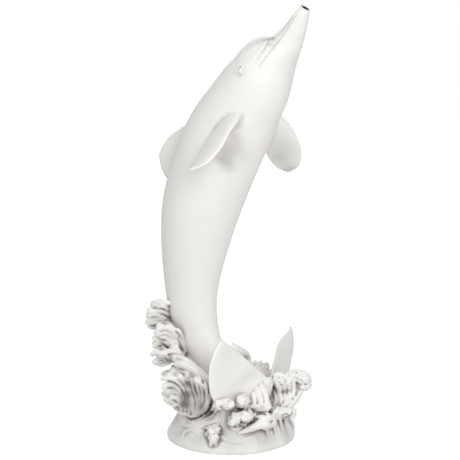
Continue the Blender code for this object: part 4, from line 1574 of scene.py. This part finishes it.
# Rolls and carrying balls, as in the solids: places and radii in metres
FOOT_ROLL = (
    (-0.105, -0.061, 0.158, 0.0070),
    (-0.076, -0.064, 0.151, 0.0125),
    (-0.051, -0.064, 0.140, 0.0130),
    (-0.027, -0.060, 0.128, 0.0110),
    (-0.003, -0.052, 0.116, 0.0065),
)
TONGUE_ROLL = (
    (0.119, -0.036, 0.067, 0.0050),
    (0.108, -0.047, 0.060, 0.0095),
    (0.093, -0.063, 0.047, 0.0070),
    (0.071, -0.080, 0.036, 0.0040),
)
REAR_ROLL = (
    (-0.034, 0.047, 0.163, 0.0105),
    (-0.009, 0.059, 0.150, 0.0095),
    (0.004, 0.062, 0.120, 0.0070),
    (0.023, 0.064, 0.114, 0.0155),
    (0.048, 0.072, 0.094, 0.0170),
)
BACK_ROLL = (
    (-0.060, 0.000, 0.060, 0.0480),
    (-0.086, 0.000, 0.120, 0.0390),
    (-0.114, 0.000, 0.178, 0.0270),
    (-0.132, 0.000, 0.222, 0.0140),
)
FRONT_BALLS = (
    (0.049, -0.113, 0.098, 0.0085),
    (0.060, -0.103, 0.100, 0.0105),
    (0.074, -0.069, 0.099, 0.0135),
    (0.063, -0.080, 0.062, 0.0115),
    (0.081, -0.064, 0.070, 0.0135),
    (0.098, 0.024, 0.121, 0.0150),
    (0.112, 0.038, 0.122, 0.0135),
    (0.129, 0.054, 0.125, 0.0145),
    (0.136, 0.060, 0.111, 0.0115),
    (0.108, -0.006, 0.064, 0.0120),
    (0.116, 0.016, 0.066, 0.0115),
    (0.116, 0.036, 0.054, 0.0110),
)
TONGUE_BALLS = (
    (0.033, -0.105, 0.042, 0.0125),
    (0.038, -0.110, 0.027, 0.0105),
)
REAR_BALLS = (
    (-0.083, -0.065, 0.129, 0.0165),
    (0.068, 0.078, 0.088, 0.0170),
    (0.082, 0.074, 0.066, 0.0160),
    (-0.056, 0.080, 0.068, 0.0160),
)
GREAT_BREAKER = Breaker(
    (-0.024, -0.082, 0.048),
    (-0.156, -0.109, 0.98),
    (0.38, -0.92, -0.05),
    length=0.122,
    spread=118,
    curl=54,
    ribs=11,
    first_end=0.15,
    last_end=0.12,
    end_share=0.4,
)
FRONT_CREST = Breaker(
    (0.116, -0.028, 0.077), (-0.68, -0.41, 0.61), (-0.70, 0.65, -0.30), 0.070, 84, 62, 5, 0.80, 0.70
)
RIGHT_CURTAIN = Breaker(
    (0.102, 0.012, 0.034), (0.04, 0.05, 1.00), (-0.24, 0.93, -0.30), 0.106, 70, 60, 7, 0.85, 0.55
)
SHELL_CREST = Breaker(
    (0.104, -0.048, 0.040), (0.01, 0.07, 1.00), (-0.47, 0.86, -0.20), 0.034, 150, 60, 5, 0.80, 0.80
)
PLUME_TOP = Breaker(
    (-0.132, -0.006, 0.214), (-0.64, -0.48, 0.60), (0.38, -0.89, -0.24), 0.058, 120, 45, 7, 0.80, 0.70
)
PLUME_MIDDLE = Breaker(
    (-0.088, -0.018, 0.158), (-0.62, -0.37, 0.70), (0.34, -0.92, -0.20), 0.080, 74, 40, 6, 0.70, 0.70
)
PLUME_FOOT = Breaker(
    (-0.086, -0.030, 0.150), (-0.78, -0.53, 0.33), (0.27, -0.73, -0.62), 0.061, 76, 55, 5, 0.70, 0.60
)
REAR_BREAKERS = (
    Breaker((-0.080, 0.006, 0.072), (-0.30, 0.26, 0.92), (-1.00, 0.00, -0.10), 0.156, 54, 42, 7, 0.75, 0.80),
    Breaker((-0.118, 0.014, 0.196), (-0.52, 0.55, 0.65), (0.20, 0.92, -0.30), 0.058, 104, 50, 7, 0.80, 0.70),
    Breaker((-0.086, 0.034, 0.112), (-0.64, 0.42, 0.64), (0.10, 0.94, -0.30), 0.082, 110, 58, 7, 0.70, 0.60),
    Breaker((-0.012, 0.080, 0.056), (-0.10, 0.20, 0.97), (0.20, 0.97, -0.10), 0.078, 120, 58, 7, 0.60, 0.60),
)

# Strands: each a row of pixels across and down and radii in pixels, from the lip or the tip inwards
BREAKER_STRANDS = (
    (
        (162.5, 374, 1.8), (168, 372.0, 2.3), (176, 373.5, 2.0), (182, 379, 1.7),
        (187, 388, 1.4), (190, 398, 1.2), (191.5, 410, 1.0),
    ),
    (
        (162.5, 379, 2.0), (169, 377.5, 2.5), (176, 380, 2.2), (182, 386, 1.7),
        (186, 395, 1.4), (188, 405, 1.1), (189, 413, 0.9),
    ),
    ((165, 385, 2.2), (171, 384, 2.6), (177, 387, 2.2), (181, 393, 1.7), (184, 401, 1.3), (185, 410, 1.0)),
    ((167.5, 391.5, 2.3), (173, 390.5, 2.6), (178, 393, 2.2), (181, 399, 1.7), (182.5, 407, 1.2)),
    ((170.5, 397.5, 2.0), (175, 397, 2.2), (178.5, 400, 1.9), (181, 406, 1.3)),
    ((175, 404.5, 2.1), (178, 404, 1.9), (180.5, 407.5, 1.4), (181.5, 412, 1.0)),
    ((188, 384, 1.0), (190, 390, 1.2), (192.5, 398, 1.2), (193.5, 406, 1.1), (193, 414, 0.9)),
    ((191.5, 380, 1.0), (193, 388, 1.3), (196, 396, 1.4), (197, 405, 1.2), (195.5, 414, 0.9)),
    ((195.5, 379, 1.2), (197.5, 387, 1.5), (199.5, 396, 1.5), (200, 405, 1.3), (197.5, 414, 0.9)),
    ((200, 381, 1.2), (202, 389, 1.4), (203, 398, 1.4), (202.5, 406, 1.2), (199.5, 414, 0.9)),
    ((205, 383, 1.2), (206.5, 391, 1.3), (206.5, 399, 1.3), (205, 406, 1.1), (201.5, 413, 0.9)),
    ((209.5, 385, 1.2), (210.5, 392, 1.3), (210, 399, 1.2), (207.5, 405, 1.0), (203.5, 411, 0.9)),
    ((212.5, 397, 1.2), (209, 405, 1.4), (203.5, 411.5, 1.3), (197.5, 417, 1.0)),
    ((216, 402, 1.3), (212, 409.5, 1.5), (206, 415.5, 1.3), (199, 419.5, 1.0)),
    ((217, 408, 1.2), (214, 414.5, 1.4), (208, 418.5, 1.3), (201, 421.5, 1.0)),
    ((219, 413, 1.2), (216, 420.5, 1.4), (208, 424.5, 1.4), (197, 424.5, 1.2), (187, 422, 1.0)),
    ((221, 419, 1.2), (217, 425.5, 1.4), (207, 428, 1.3), (196, 427.5, 1.1), (181, 426, 1.0)),
    ((184.5, 412.5, 1.4), (187.5, 414.5, 1.7), (191, 416.5, 1.7), (195, 416, 1.2)),
    ((185, 416.5, 0.9), (187.5, 418.5, 1.1), (191, 421.5, 1.1), (195, 421, 0.9)),
)
FOOT_STRANDS = (
    (
        (173.5, 357.5, 1.6), (179, 356.5, 2.0), (187, 360.5, 2.0), (195.5, 366.5, 1.8),
        (203, 372.5, 1.6), (209.5, 377.5, 1.2),
    ),
    ((177, 364, 3.2), (184, 365, 3.8), (191, 368.5, 3.8), (199, 374, 3.2), (206.5, 379, 2.4)),
    ((178.5, 369, 1.9), (184, 371.5, 2.4), (190, 371.5, 2.2)),
    ((194.5, 373, 1.6), (198.5, 378, 2.2), (204, 381.5, 1.9), (210.5, 382, 1.4)),
)
PLUME_STRANDS = (
    ((155, 305, 1.6), (157, 302, 1.9), (161.5, 301.5, 1.9), (167, 303.5, 1.6)),
    ((158.5, 306, 2.0), (163, 305.5, 2.2), (168.5, 308.5, 1.8)),
    ((151.5, 311.5, 1.8), (156, 310, 2.3), (162, 310.5, 2.2), (169, 314, 1.7)),
    ((149, 315, 2.4), (152.5, 313.5, 2.6), (158, 314.5, 2.0), (164, 317, 1.7), (170.5, 320, 1.4)),
    ((149.5, 319.5, 2.3), (153, 318, 2.2), (159, 317.5, 1.9), (165.5, 320, 1.7), (171.5, 325, 1.3)),
    ((152.5, 323, 1.8), (155.5, 321.5, 2.2), (158, 319.5, 1.4)),
    ((159, 321.5, 1.0), (164, 321.8, 1.3), (169, 324.5, 1.3), (174, 330, 1.2)),
    ((157, 333, 2.0), (158.5, 329.5, 2.3), (163, 327.5, 2.3), (169.5, 328.5, 2.3), (176, 336, 1.8)),
    ((158, 335.5, 1.5), (161, 332.5, 2.0), (166, 332, 2.2), (172, 335, 2.5), (178, 345, 2.0)),
    ((161.5, 337.5, 1.2), (165, 336.5, 2.0), (170, 339.5, 2.8), (175, 346, 2.6), (180, 354, 1.8)),
    ((165, 342, 1.4), (168.5, 343.5, 2.2), (172.5, 348, 2.2), (176.5, 353.5, 1.6)),
    ((154.5, 347, 1.8), (157, 343.5, 2.1), (161, 343.5, 1.9), (164.5, 347, 1.5)),
    ((158.5, 347.5, 1.4), (162.5, 347.8, 1.7), (166.5, 350.5, 1.3)),
    ((152, 354.5, 1.9), (155, 352.5, 2.4), (160.5, 353, 2.4), (166, 355.5, 1.9), (170, 359.5, 1.4)),
    ((159, 356.5, 1.1), (163, 357, 1.6), (166, 360.5, 1.4)),
)
FOAM_STRANDS = (
    ((215, 402.5, 1.4), (218.5, 397.5, 1.6), (224, 395.8, 1.6), (230, 396.5, 1.4), (233, 399, 1.1)),
    ((236.5, 397.5, 1.1), (239.5, 393, 1.3), (244, 392.5, 1.3), (247.5, 396, 1.2)),
    ((241.5, 388.5, 1.6), (247, 386.8, 2.2), (251.5, 391, 2.3), (254, 398, 2.0), (254.5, 404, 1.5)),
    ((248.5, 383.5, 1.6), (253.5, 385, 2.3), (257.5, 391, 2.5), (260, 398, 2.3), (261, 404, 1.6)),
    ((254, 380.5, 1.6), (259, 382.5, 2.2), (263, 389, 2.4), (266, 396, 2.1), (266.5, 402.5, 1.5)),
    ((260.5, 378, 1.4), (265.5, 381.5, 2.0), (269, 388, 2.1), (271.5, 395, 1.8), (271.5, 400.5, 1.3)),
    ((246, 393.5, 1.2), (249, 397.5, 1.8), (250, 402.5, 1.6)),
    ((236, 405, 1.0), (243, 406.5, 1.2), (252, 406.5, 1.6), (262, 406, 1.5), (268.5, 403.5, 1.1)),
    ((252.5, 415.5, 1.3), (257.5, 412.8, 1.6), (264, 412.5, 1.6), (269, 415.5, 1.3)),
    ((254, 419.5, 1.1), (258.5, 416.8, 1.4), (264, 416.8, 1.4), (268.5, 420.5, 1.1)),
    ((256.5, 422.5, 1.1), (261, 420.5, 1.3), (265.5, 421.5, 1.1)),
    ((268, 425, 2.4), (261.5, 424.8, 3.0), (253.5, 427.3, 2.7), (245, 431, 2.0), (238, 433.7, 1.2)),
    ((228, 423, 1.2), (230.5, 428, 1.5), (236, 429.8, 1.5), (241, 428, 1.3)),
)
CURTAIN_STRANDS = (
    ((271.5, 382, 1.4), (274, 388.5, 1.8), (275.8, 395, 1.7), (276.5, 402, 1.4)),
    ((276.5, 381, 1.8), (279, 388.5, 2.3), (280.5, 396, 2.1), (281, 403.5, 1.7)),
    ((282.5, 381.5, 1.8), (284.5, 389, 2.1), (285.5, 397, 1.9), (285.8, 404.5, 1.6)),
    ((288, 382.5, 1.6), (289.5, 390, 1.9), (289.5, 398, 1.7), (289.3, 405, 1.4)),
    ((293.5, 382.5, 1.6), (293.8, 389, 1.8), (292.8, 396, 1.4)),
    ((299, 384, 1.8), (298, 390, 1.9), (295.8, 395.5, 1.4)),
    ((304, 386, 2.0), (301.8, 390, 1.9), (299.5, 393, 1.3)),
    ((272.5, 376.5, 1.8), (276.5, 375, 2.4), (282, 375.8, 2.4), (286.5, 379, 1.8)),
    ((287.5, 375, 1.8), (291, 372.5, 2.3), (297, 372, 2.3), (301.5, 374.5, 2.0)),
    ((299.5, 377.5, 1.8), (303.5, 374, 2.2), (308, 376.5, 2.2), (310, 381, 1.5)),
    ((291, 379.5, 1.6), (296, 378.5, 2.0), (300.5, 381.5, 1.6)),
    ((278, 407.5, 1.3), (279.5, 417, 1.5), (281, 427, 1.3), (284, 438, 0.9)),
    ((273.5, 418, 1.0), (274.5, 428, 1.4), (275.5, 437, 1.2), (276, 443, 0.8)),
    ((284.5, 417, 1.2), (285.5, 426, 1.4), (288.5, 435, 1.2), (290, 440, 0.8)),
    ((289, 419.5, 1.5), (292, 423.5, 1.8), (293, 429.5, 1.6), (291.5, 436, 1.1)),
    ((266.5, 428, 0.9), (267.5, 436, 1.2), (268, 444, 0.8)),
)
PLINTH_STRANDS = (
    (
        (184, 441, 0.7), (182.5, 435.5, 1.2), (185.5, 431, 1.4), (190.5, 429.5, 1.4),
        (195.5, 431.5, 1.3), (198.5, 436.5, 1.0),
    ),
    ((187.5, 437, 1.5), (190.5, 436, 2.0), (193.5, 438, 1.4)),
    ((176, 428, 0.8), (180, 425, 1.2), (186, 425, 1.2), (193, 427, 0.9)),
    ((220, 436, 0.8), (227, 439.5, 1.3), (236, 440.5, 1.4), (246, 438.5, 1.2), (255, 435.5, 0.8)),
    ((222, 444, 0.7), (231, 447, 1.1), (241, 447, 1.0), (250, 445, 0.7)),
    ((256, 440, 0.7), (258, 444, 1.0), (259, 449, 0.7)),
    ((262.5, 434, 0.7), (263, 441, 1.1), (263.5, 448, 0.7)),
    ((271.5, 430, 0.8), (272, 438, 1.1), (272.5, 445, 0.7)),
    ((279.5, 432, 0.8), (280, 438, 1.1), (280.5, 443, 0.7)),
)
# Lumps: pixels across and down, and the radius in pixels
FOAM_LUMPS = (
    (224.0, 402.5, 4.6),
    (217.8, 403.5, 3.4),
    (230.6, 404.6, 3.5),
    (241.2, 400.2, 5.2),
    (237.0, 417.5, 5.6),
    (232.3, 422.5, 4.6),
    (246.0, 416.3, 5.6),
    (243.0, 423.5, 3.6),
    (275.3, 379.3, 3.6),
    (281.5, 379.8, 3.6),
    (292.5, 375.5, 4.0),
    (299.3, 377.0, 3.8),
    (305.0, 379.3, 4.0),
    (302.8, 386.5, 3.4),
    (276.5, 411.5, 3.2),
    (282.5, 410.8, 3.6),
    (288.7, 411.2, 3.6),
    (294.2, 411.6, 2.9),
    (291.0, 417.8, 2.4),
)
TONGUE_LUMPS = (
    (211.8, 431.0, 4.4),
    (207.5, 434.5, 2.8),
    (213.2, 437.5, 4.2),
    (211.3, 442.5, 3.0),
    (217.3, 428.0, 2.2),
)


@dataclass
class WaveMaker:
    """Casts each group of waves as one form: carrying forms, strands, lumps and bubbles fused together."""

    view: PhotoView
    kit: GeometryKit
    finish: bpy.types.Material
    smoothing: int = 2
    smoothing_factor: float = 0.5
    strand_lift: float = -0.15
    lump_lift: float = 0.2
    ball_share: float = 0.92

    def balls(self, places: list[tuple], name: str, seed: int) -> bpy.types.Object:
        """Makes balls of foam with small bubbles over them.

        Args:
            places: The balls' centres and radii.
            name: The object's name.
            seed: Chooses where the bubbles sit.

        Returns:
            The object.
        """
        shells = Shells()
        add_balls(shells, places, self.ball_share)
        return self.kit.run(shells.make(name), self.kit.bubbles, seed=seed, material=self.finish)

    def cast(
        self,
        name: str,
        carriers: Shells,
        relief: Relief,
        strands: tuple,
        lumps: tuple,
        balls: tuple,
        voxel: float,
        swell: float = 1.0,
    ) -> bpy.types.Object:
        """Fuses a group of waves.

        Args:
            name: The piece's name.
            carriers: Its carrying forms.
            relief: All carrying forms, which the strands and lumps are laid on.
            strands: Its strands.
            lumps: Its lumps.
            balls: Balls given by their places.
            voxel: How finely the form is cast.
            swell: Scales the strands' radii.

        Returns:
            The piece.
        """
        lines = RibLines()
        for rows in strands:
            path, sizes = relief.lay(rows, self.strand_lift)
            lines.add_rib(path, sizes * swell)
        places = list(balls)
        for lump in lumps:
            path, sizes = relief.lay((lump, lump), self.lump_lift)
            places.append((*path[0], sizes[0]))
        piece = carriers.make(name)
        parts = [piece, *lines.grow(self.kit, self.finish)]
        if places:
            parts.append(self.balls(places, name + "_foam", seed=len(places)))
        with bpy.context.temp_override(
            active_object=piece, selected_objects=parts, selected_editable_objects=parts
        ):
            bpy.ops.object.join()
        remesh = piece.modifiers.new("cast", "REMESH")
        remesh.mode = "VOXEL"
        remesh.voxel_size = voxel
        remesh.use_smooth_shade = True
        soften = piece.modifiers.new("soften", "SMOOTH")
        soften.factor = self.smoothing_factor
        soften.iterations = self.smoothing
        apply_modifiers(piece)
        piece.data.materials.clear()
        piece.data.materials.append(self.finish)
        return piece

    def build(self) -> list[bpy.types.Object]:
        """Builds all the waves.

        Returns:
            The pieces: the plinth, the breaker, the curtain, the plume and the rear waves.
        """
        plinth, front, curtain, plume, rear = Shells(), Shells(), Shells(), Shells(), Shells()
        base = Plinth()
        base.add_to(plinth)
        GREAT_BREAKER.add_to(front, seed=1)
        FoamRoll(FOOT_ROLL).add_to(front)
        FRONT_CREST.add_to(curtain, seed=2)
        RIGHT_CURTAIN.add_to(curtain, seed=3)
        SHELL_CREST.add_to(curtain, seed=4)
        FoamRoll(TONGUE_ROLL).add_to(curtain)
        for seed, breaker in enumerate((PLUME_TOP, PLUME_MIDDLE, PLUME_FOOT), 10):
            breaker.add_to(plume, seed)
        FoamRoll(BACK_ROLL).add_to(plume)
        for seed, breaker in enumerate(REAR_BREAKERS, 20):
            breaker.add_to(rear, seed)
        FoamRoll(REAR_ROLL).add_to(rear)
        foam = Shells()
        add_balls(foam, [*FRONT_BALLS, *TONGUE_BALLS], 1.0)
        relief = Relief(self.view, [plinth, front, curtain, plume, foam])
        base.add_boss(plinth)
        breaker_strands = BREAKER_STRANDS + FOOT_STRANDS
        curtain_strands = FOAM_STRANDS + CURTAIN_STRANDS
        pieces = [
            self.cast("plinth", plinth, relief, PLINTH_STRANDS, TONGUE_LUMPS, TONGUE_BALLS, voxel=0.0021),
            self.cast("breaker", front, relief, breaker_strands, (), (), voxel=0.0016, swell=1.2),
            self.cast(
                "curtain", curtain, relief, curtain_strands, FOAM_LUMPS, FRONT_BALLS, voxel=0.0017, swell=1.45
            ),
            self.cast("plume", plume, relief, PLUME_STRANDS, (), (), voxel=0.0018, swell=1.3),
            self.cast("rear_waves", rear, relief, (), (), REAR_BALLS, voxel=0.0021),
        ]
        base.bore(pieces)
        for piece in pieces:
            write_recess(piece)
        return pieces


# Spots of painted shade, more than 0, laid as extra wash colour, and of painted light, less than 0, where the
# wash
# colour is taken away: pixels across and down, the radius in pixels and the level
PAINTED_SHADE_AND_LIGHT_SPOTS = (
    (219.0, 158.0, 5.0, 0.26),
    (223.0, 150.5, 5.0, 0.24),
    (227.0, 144.0, 5.0, 0.2),
    (226.0, 161.0, 8.0, 0.34),
    (232.0, 151.0, 9.0, 0.32),
    (238.0, 143.0, 8.0, 0.2),
    (244.0, 156.0, 9.0, 0.14),
    (230.0, 167.0, 7.0, 0.18),
    (234.0, 136.0, 6.0, 0.28),
    (238.0, 126.0, 5.0, 0.22),
    (240.0, 118.0, 4.0, 0.12),
    (284.0, 148.0, 16.0, 0.2),
    (279.0, 158.0, 8.0, 0.22),
    (290.0, 168.0, 8.0, 0.22),
    (273.0, 38.5, 2.5, 0.7),
    (269.0, 39.0, 3.0, 0.6),
    (263.5, 40.0, 3.5, 0.4),
    (257.0, 42.5, 4.0, 0.22),
    (250.0, 47.0, 5.0, 0.12),
    (269.5, 44.0, 2.2, 0.3),
    (292.0, 18.0, 3.2, 0.2),
    (288.0, 23.5, 3.2, 0.2),
    (284.5, 29.0, 3.2, 0.2),
    (280.5, 34.5, 3.2, 0.2),
    (276.5, 40.5, 3.2, 0.2),
    (272.5, 46.0, 3.2, 0.18),
    (297.0, 38.0, 10.0, 0.11),
    (302.0, 22.0, 9.0, 0.11),
    (290.0, 60.0, 14.0, 0.08),
    (230.0, 76.0, 14.0, 0.05),
    (240.0, 96.0, 14.0, 0.04),
    (252.0, 374.0, 8.0, 0.16),
    (243.0, 379.0, 7.0, 0.12),
    (234.0, 384.0, 6.0, 0.06),
    (184.0, 404.0, 6.0, 1.1),
    (186.0, 394.0, 6.0, 1.0),
    (188.0, 384.0, 6.0, 0.85),
    (190.0, 376.0, 4.0, 0.5),
    (196.0, 392.0, 8.0, 0.45),
    (199.0, 406.0, 9.0, 0.45),
    (204.0, 392.0, 8.0, 0.25),
    (206.0, 414.0, 9.0, 0.3),
    (190.0, 414.0, 7.0, 0.4),
    (174.0, 388.0, 6.0, 0.15),
    (172.0, 365.0, 5.0, 0.9),
    (169.0, 360.0, 4.0, 0.6),
    (242.0, 409.0, 5.0, 0.55),
    (231.0, 411.0, 4.0, 0.45),
    (269.5, 411.0, 4.0, 0.8),
    (262.0, 407.0, 3.0, 0.3),
    (155.0, 325.0, 4.0, 0.55),
    (160.0, 345.0, 5.0, 0.28),
    (157.0, 356.0, 5.0, 0.2),
    (160.0, 309.0, 7.0, -0.12),
    (166.0, 331.0, 9.0, -0.45),
    (173.0, 344.0, 8.0, -0.35),
    (190.0, 369.0, 8.0, -0.2),
    (202.0, 375.0, 7.0, -0.15),
    (224.0, 402.0, 7.0, -0.25),
    (241.0, 400.0, 5.0, -0.15),
    (237.0, 418.0, 6.0, -0.2),
    (246.0, 416.0, 6.0, -0.2),
    (255.0, 392.0, 9.0, -0.28),
    (281.0, 379.0, 8.0, -0.25),
    (295.0, 376.0, 8.0, -0.25),
    (304.0, 381.0, 7.0, -0.25),
    (284.0, 412.0, 6.0, -0.15),
    (262.0, 426.0, 7.0, -0.15),
    (213.0, 436.0, 6.0, -0.2),
    (176.0, 418.0, 10.0, 0.3),
    (182.0, 432.0, 12.0, 0.24),
    (200.0, 438.0, 12.0, 0.22),
    (232.0, 443.0, 14.0, 0.24),
    (262.0, 440.0, 13.0, 0.24),
    (286.0, 433.0, 11.0, 0.26),
    (225.0, 430.0, 8.0, 0.2),
    (204.0, 428.0, 4.0, 0.3),
    (246.0, 358.0, 4.0, 0.8),
    (242.0, 353.0, 5.0, 0.25),
    (262.0, 368.0, 7.0, 0.35),
)


@dataclass(frozen=True)
class PaintedShadeAndLightSpots:
    """Sets the spots of painted shade and painted light, in the wash colour, on the pieces."""

    view: PhotoView
    rows: tuple = PAINTED_SHADE_AND_LIGHT_SPOTS

    def write(self, pieces: list[bpy.types.Object]) -> None:
        """Writes the attribute spots, the painted shade and painted light, on each piece.

        Args:
            pieces: The pieces.
        """
        graph = bpy.context.evaluated_depsgraph_get()
        trees = [BVHTree.FromObject(piece, graph) for piece in pieces]
        start = Vector(self.view.place())
        totals = [np.zeros(len(piece.data.vertices)) for piece in pieces]
        for across, down, radius, level in self.rows:
            ray = Vector(self.view.ray(across, down))
            hits = [hit for hit in (tree.ray_cast(start, ray) for tree in trees) if hit[0] is not None]
            if not hits:
                LOG.warning("nothing lies under the wash spot at %s, %s", across, down)
                continue
            place = np.array(min(hits, key=lambda hit: hit[3])[0])
            size = radius * self.view.pixel_size(self.view.nearness(place))
            for total, piece in zip(totals, pieces):
                total += level * np.exp(-((points_of(piece) - place) ** 2).sum(1) / size**2)
        for total, piece in zip(totals, pieces):
            write_level(piece, "spots", total)


# Stage


def seen_directly(tree: NodeTree) -> Wire:
    """Tells, for a stage material, whether the camera sees it, itself or in a gloss or through glass."""
    ray = tree.node("ShaderNodeLightPath")
    seen = Wire(tree, ray.outputs["Is Camera Ray"]) + Wire(tree, ray.outputs["Is Glossy Ray"])
    return (seen + Wire(tree, ray.outputs["Is Transmission Ray"])).clamped()


@dataclass
class Stage:
    """The white floor, the soft studio light and the camera."""

    view: PhotoView = PhotoView()
    sensor: float = 36.0
    aim: tuple[float, float, float] = (0, 0, 0.4)
    # Each lamp's name, its place, the length of its side and its power in watts
    lamps: tuple = (
        ("key", (2.1, -2.0, 1.5), 1.4, 46.0),
        ("top", (0.0, -1.5, 3.0), 0.8, 11.0),
        ("back", (-1.2, 2.4, 2.2), 2.0, 12.0),
    )
    world_light: float = 0.50
    floor_half: float = 6.0
    floor_grey: float = 0.80
    # What the camera sees of the floor: a matt part that keeps the shadow, and a glow that makes it white
    floor_faint: float = 0.40
    floor_glow: float = 0.82

    def camera(self) -> None:
        """Sets the camera at the photograph's viewing angle."""
        place = self.view.place()
        right, upward, forward = self.view.axes()
        data = bpy.data.cameras.new("camera")
        data.sensor_width = self.sensor
        data.lens = self.sensor * self.view.focal_pixels / self.view.picture
        made = bpy.data.objects.new("camera", data)
        made.matrix_world = Matrix(
            [(right[i], upward[i], -forward[i], place[i]) for i in range(3)] + [(0, 0, 0, 1)]
        )
        bpy.context.scene.collection.objects.link(made)
        bpy.context.scene.camera = made

    @staticmethod
    def lamp(name: str, place: tuple, aim: tuple, size: float, power: float) -> None:
        """Hangs a square soft lamp.

        Args:
            name: Its name.
            place: Where it hangs.
            aim: The point it faces.
            size: The length of its side.
            power: Its power in watts.
        """
        data = bpy.data.lights.new(name, "AREA")
        data.size = size
        data.energy = power
        made = bpy.data.objects.new(name, data)
        made.location = place
        made.rotation_euler = (Vector(aim) - Vector(place)).to_track_quat("-Z", "Y").to_euler()
        bpy.context.scene.collection.objects.link(made)

    def light(self) -> None:
        """Hangs the lamps and sets the world's plain light."""
        for name, place, size, power in self.lamps:
            self.lamp(name, place, self.aim, size, power)
        world = bpy.data.worlds.new("studio")
        world.use_nodes = True
        tree = NodeTree(world.node_tree)
        seen = seen_directly(tree)
        strength = seen + (1 - seen) * self.world_light
        shown = tree.node("ShaderNodeBackground", {}, {"Color": (1, 1, 1, 1), "Strength": strength})
        tree.node("ShaderNodeOutputWorld", {}, {"Surface": shown.outputs[0]})
        bpy.context.scene.world = world

    def floor(self) -> None:
        """Lays the white floor, which keeps the statue's shadow."""
        mesh = bpy.data.meshes.new("floor")
        half = self.floor_half
        corners = [(-half, -half, 0), (half, -half, 0), (half, half, 0), (-half, half, 0)]
        mesh.from_pydata(corners, [], [(0, 1, 2, 3)])
        made = bpy.data.objects.new("floor", mesh)
        bpy.context.scene.collection.objects.link(made)
        material = bpy.data.materials.new("white_floor")
        material.use_nodes = True
        tree = NodeTree(material.node_tree)
        seen = seen_directly(tree)
        matt = tree.node("ShaderNodeBsdfDiffuse", {}, {"Color": (*[self.floor_grey] * 3, 1)})
        faint = tree.node("ShaderNodeBsdfDiffuse", {}, {"Color": (*[self.floor_faint] * 3, 1)})
        glow = tree.node("ShaderNodeEmission", {}, {"Color": (1, 1, 1, 1), "Strength": self.floor_glow})
        both = tree.node("ShaderNodeAddShader", {}, {0: faint.outputs[0], 1: glow.outputs[0]})
        mixed = tree.node("ShaderNodeMixShader", {}, {0: seen, 1: matt.outputs[0], 2: both.outputs[0]})
        tree.node("ShaderNodeOutputMaterial", {}, {"Surface": mixed.outputs[0]})
        made.data.materials.append(material)

    def build(self) -> None:
        """Sets the stage."""
        self.camera()
        self.light()
        self.floor()
        bpy.context.scene.view_settings.view_transform = "Standard"


def dress_node(name: str, material: bpy.types.Material) -> None:
    """Gives a CAD node a better material."""
    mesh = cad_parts[name].data
    if mesh.materials:
        for i in range(len(mesh.materials)):
            mesh.materials[i] = material
    else:
        mesh.materials.append(material)


def main() -> None:
    """Builds the stage and every piece."""
    logging.basicConfig(level=logging.INFO, format="%(name)s: %(message)s")
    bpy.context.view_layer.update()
    Stage().build()
    kit = GeometryKit()
    # On the body, the crowding's darkening is mostly painted shade under the flippers and the fin
    stone = StoneResin("white_stone_resin_body", wash_gain=1.3, crowd_wash_and_shade_gain=0.4)
    waves = StoneResin(
        "white_stone_resin_waves",
        wash_least=0.05,
        wash_gain=1.3,
        wash_start=0.55,
        crowd_wash_and_shade_gain=0.72,
        mottle_depth=0.14,
    )
    pieces = [Dolphin(stone).build(), *WaveMaker(PhotoView(), kit, waves.make()).build()]
    # Wash and painted shade from the crowding
    Crowding(pieces).write(pieces)
    # Spots of painted shade and painted light, laid into the wash colour
    PaintedShadeAndLightSpots(PhotoView()).write(pieces)
    for piece in pieces:
        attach(piece, ROOT_BODY)
        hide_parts(CASTING_NODE)
        LOG.info("%s: %d vertices, %d faces", piece.name, len(piece.data.vertices), len(piece.data.polygons))
    rubber = BlackPlastic("black_rubber_tube").make()
    # A black ring that fills the shaded gap round the tube's end, partly standing in for shade
    shade_ring = SpoutShadeRing(rubber).build()
    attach(shade_ring, ROOT_BODY)
    dress_node(TUBE_NODE, rubber)
    dress_node(TAIL_NODE, BlackPlastic("black_nylon_hose_tail", rough=0.3).make())


if __name__ == "__main__":
    main()
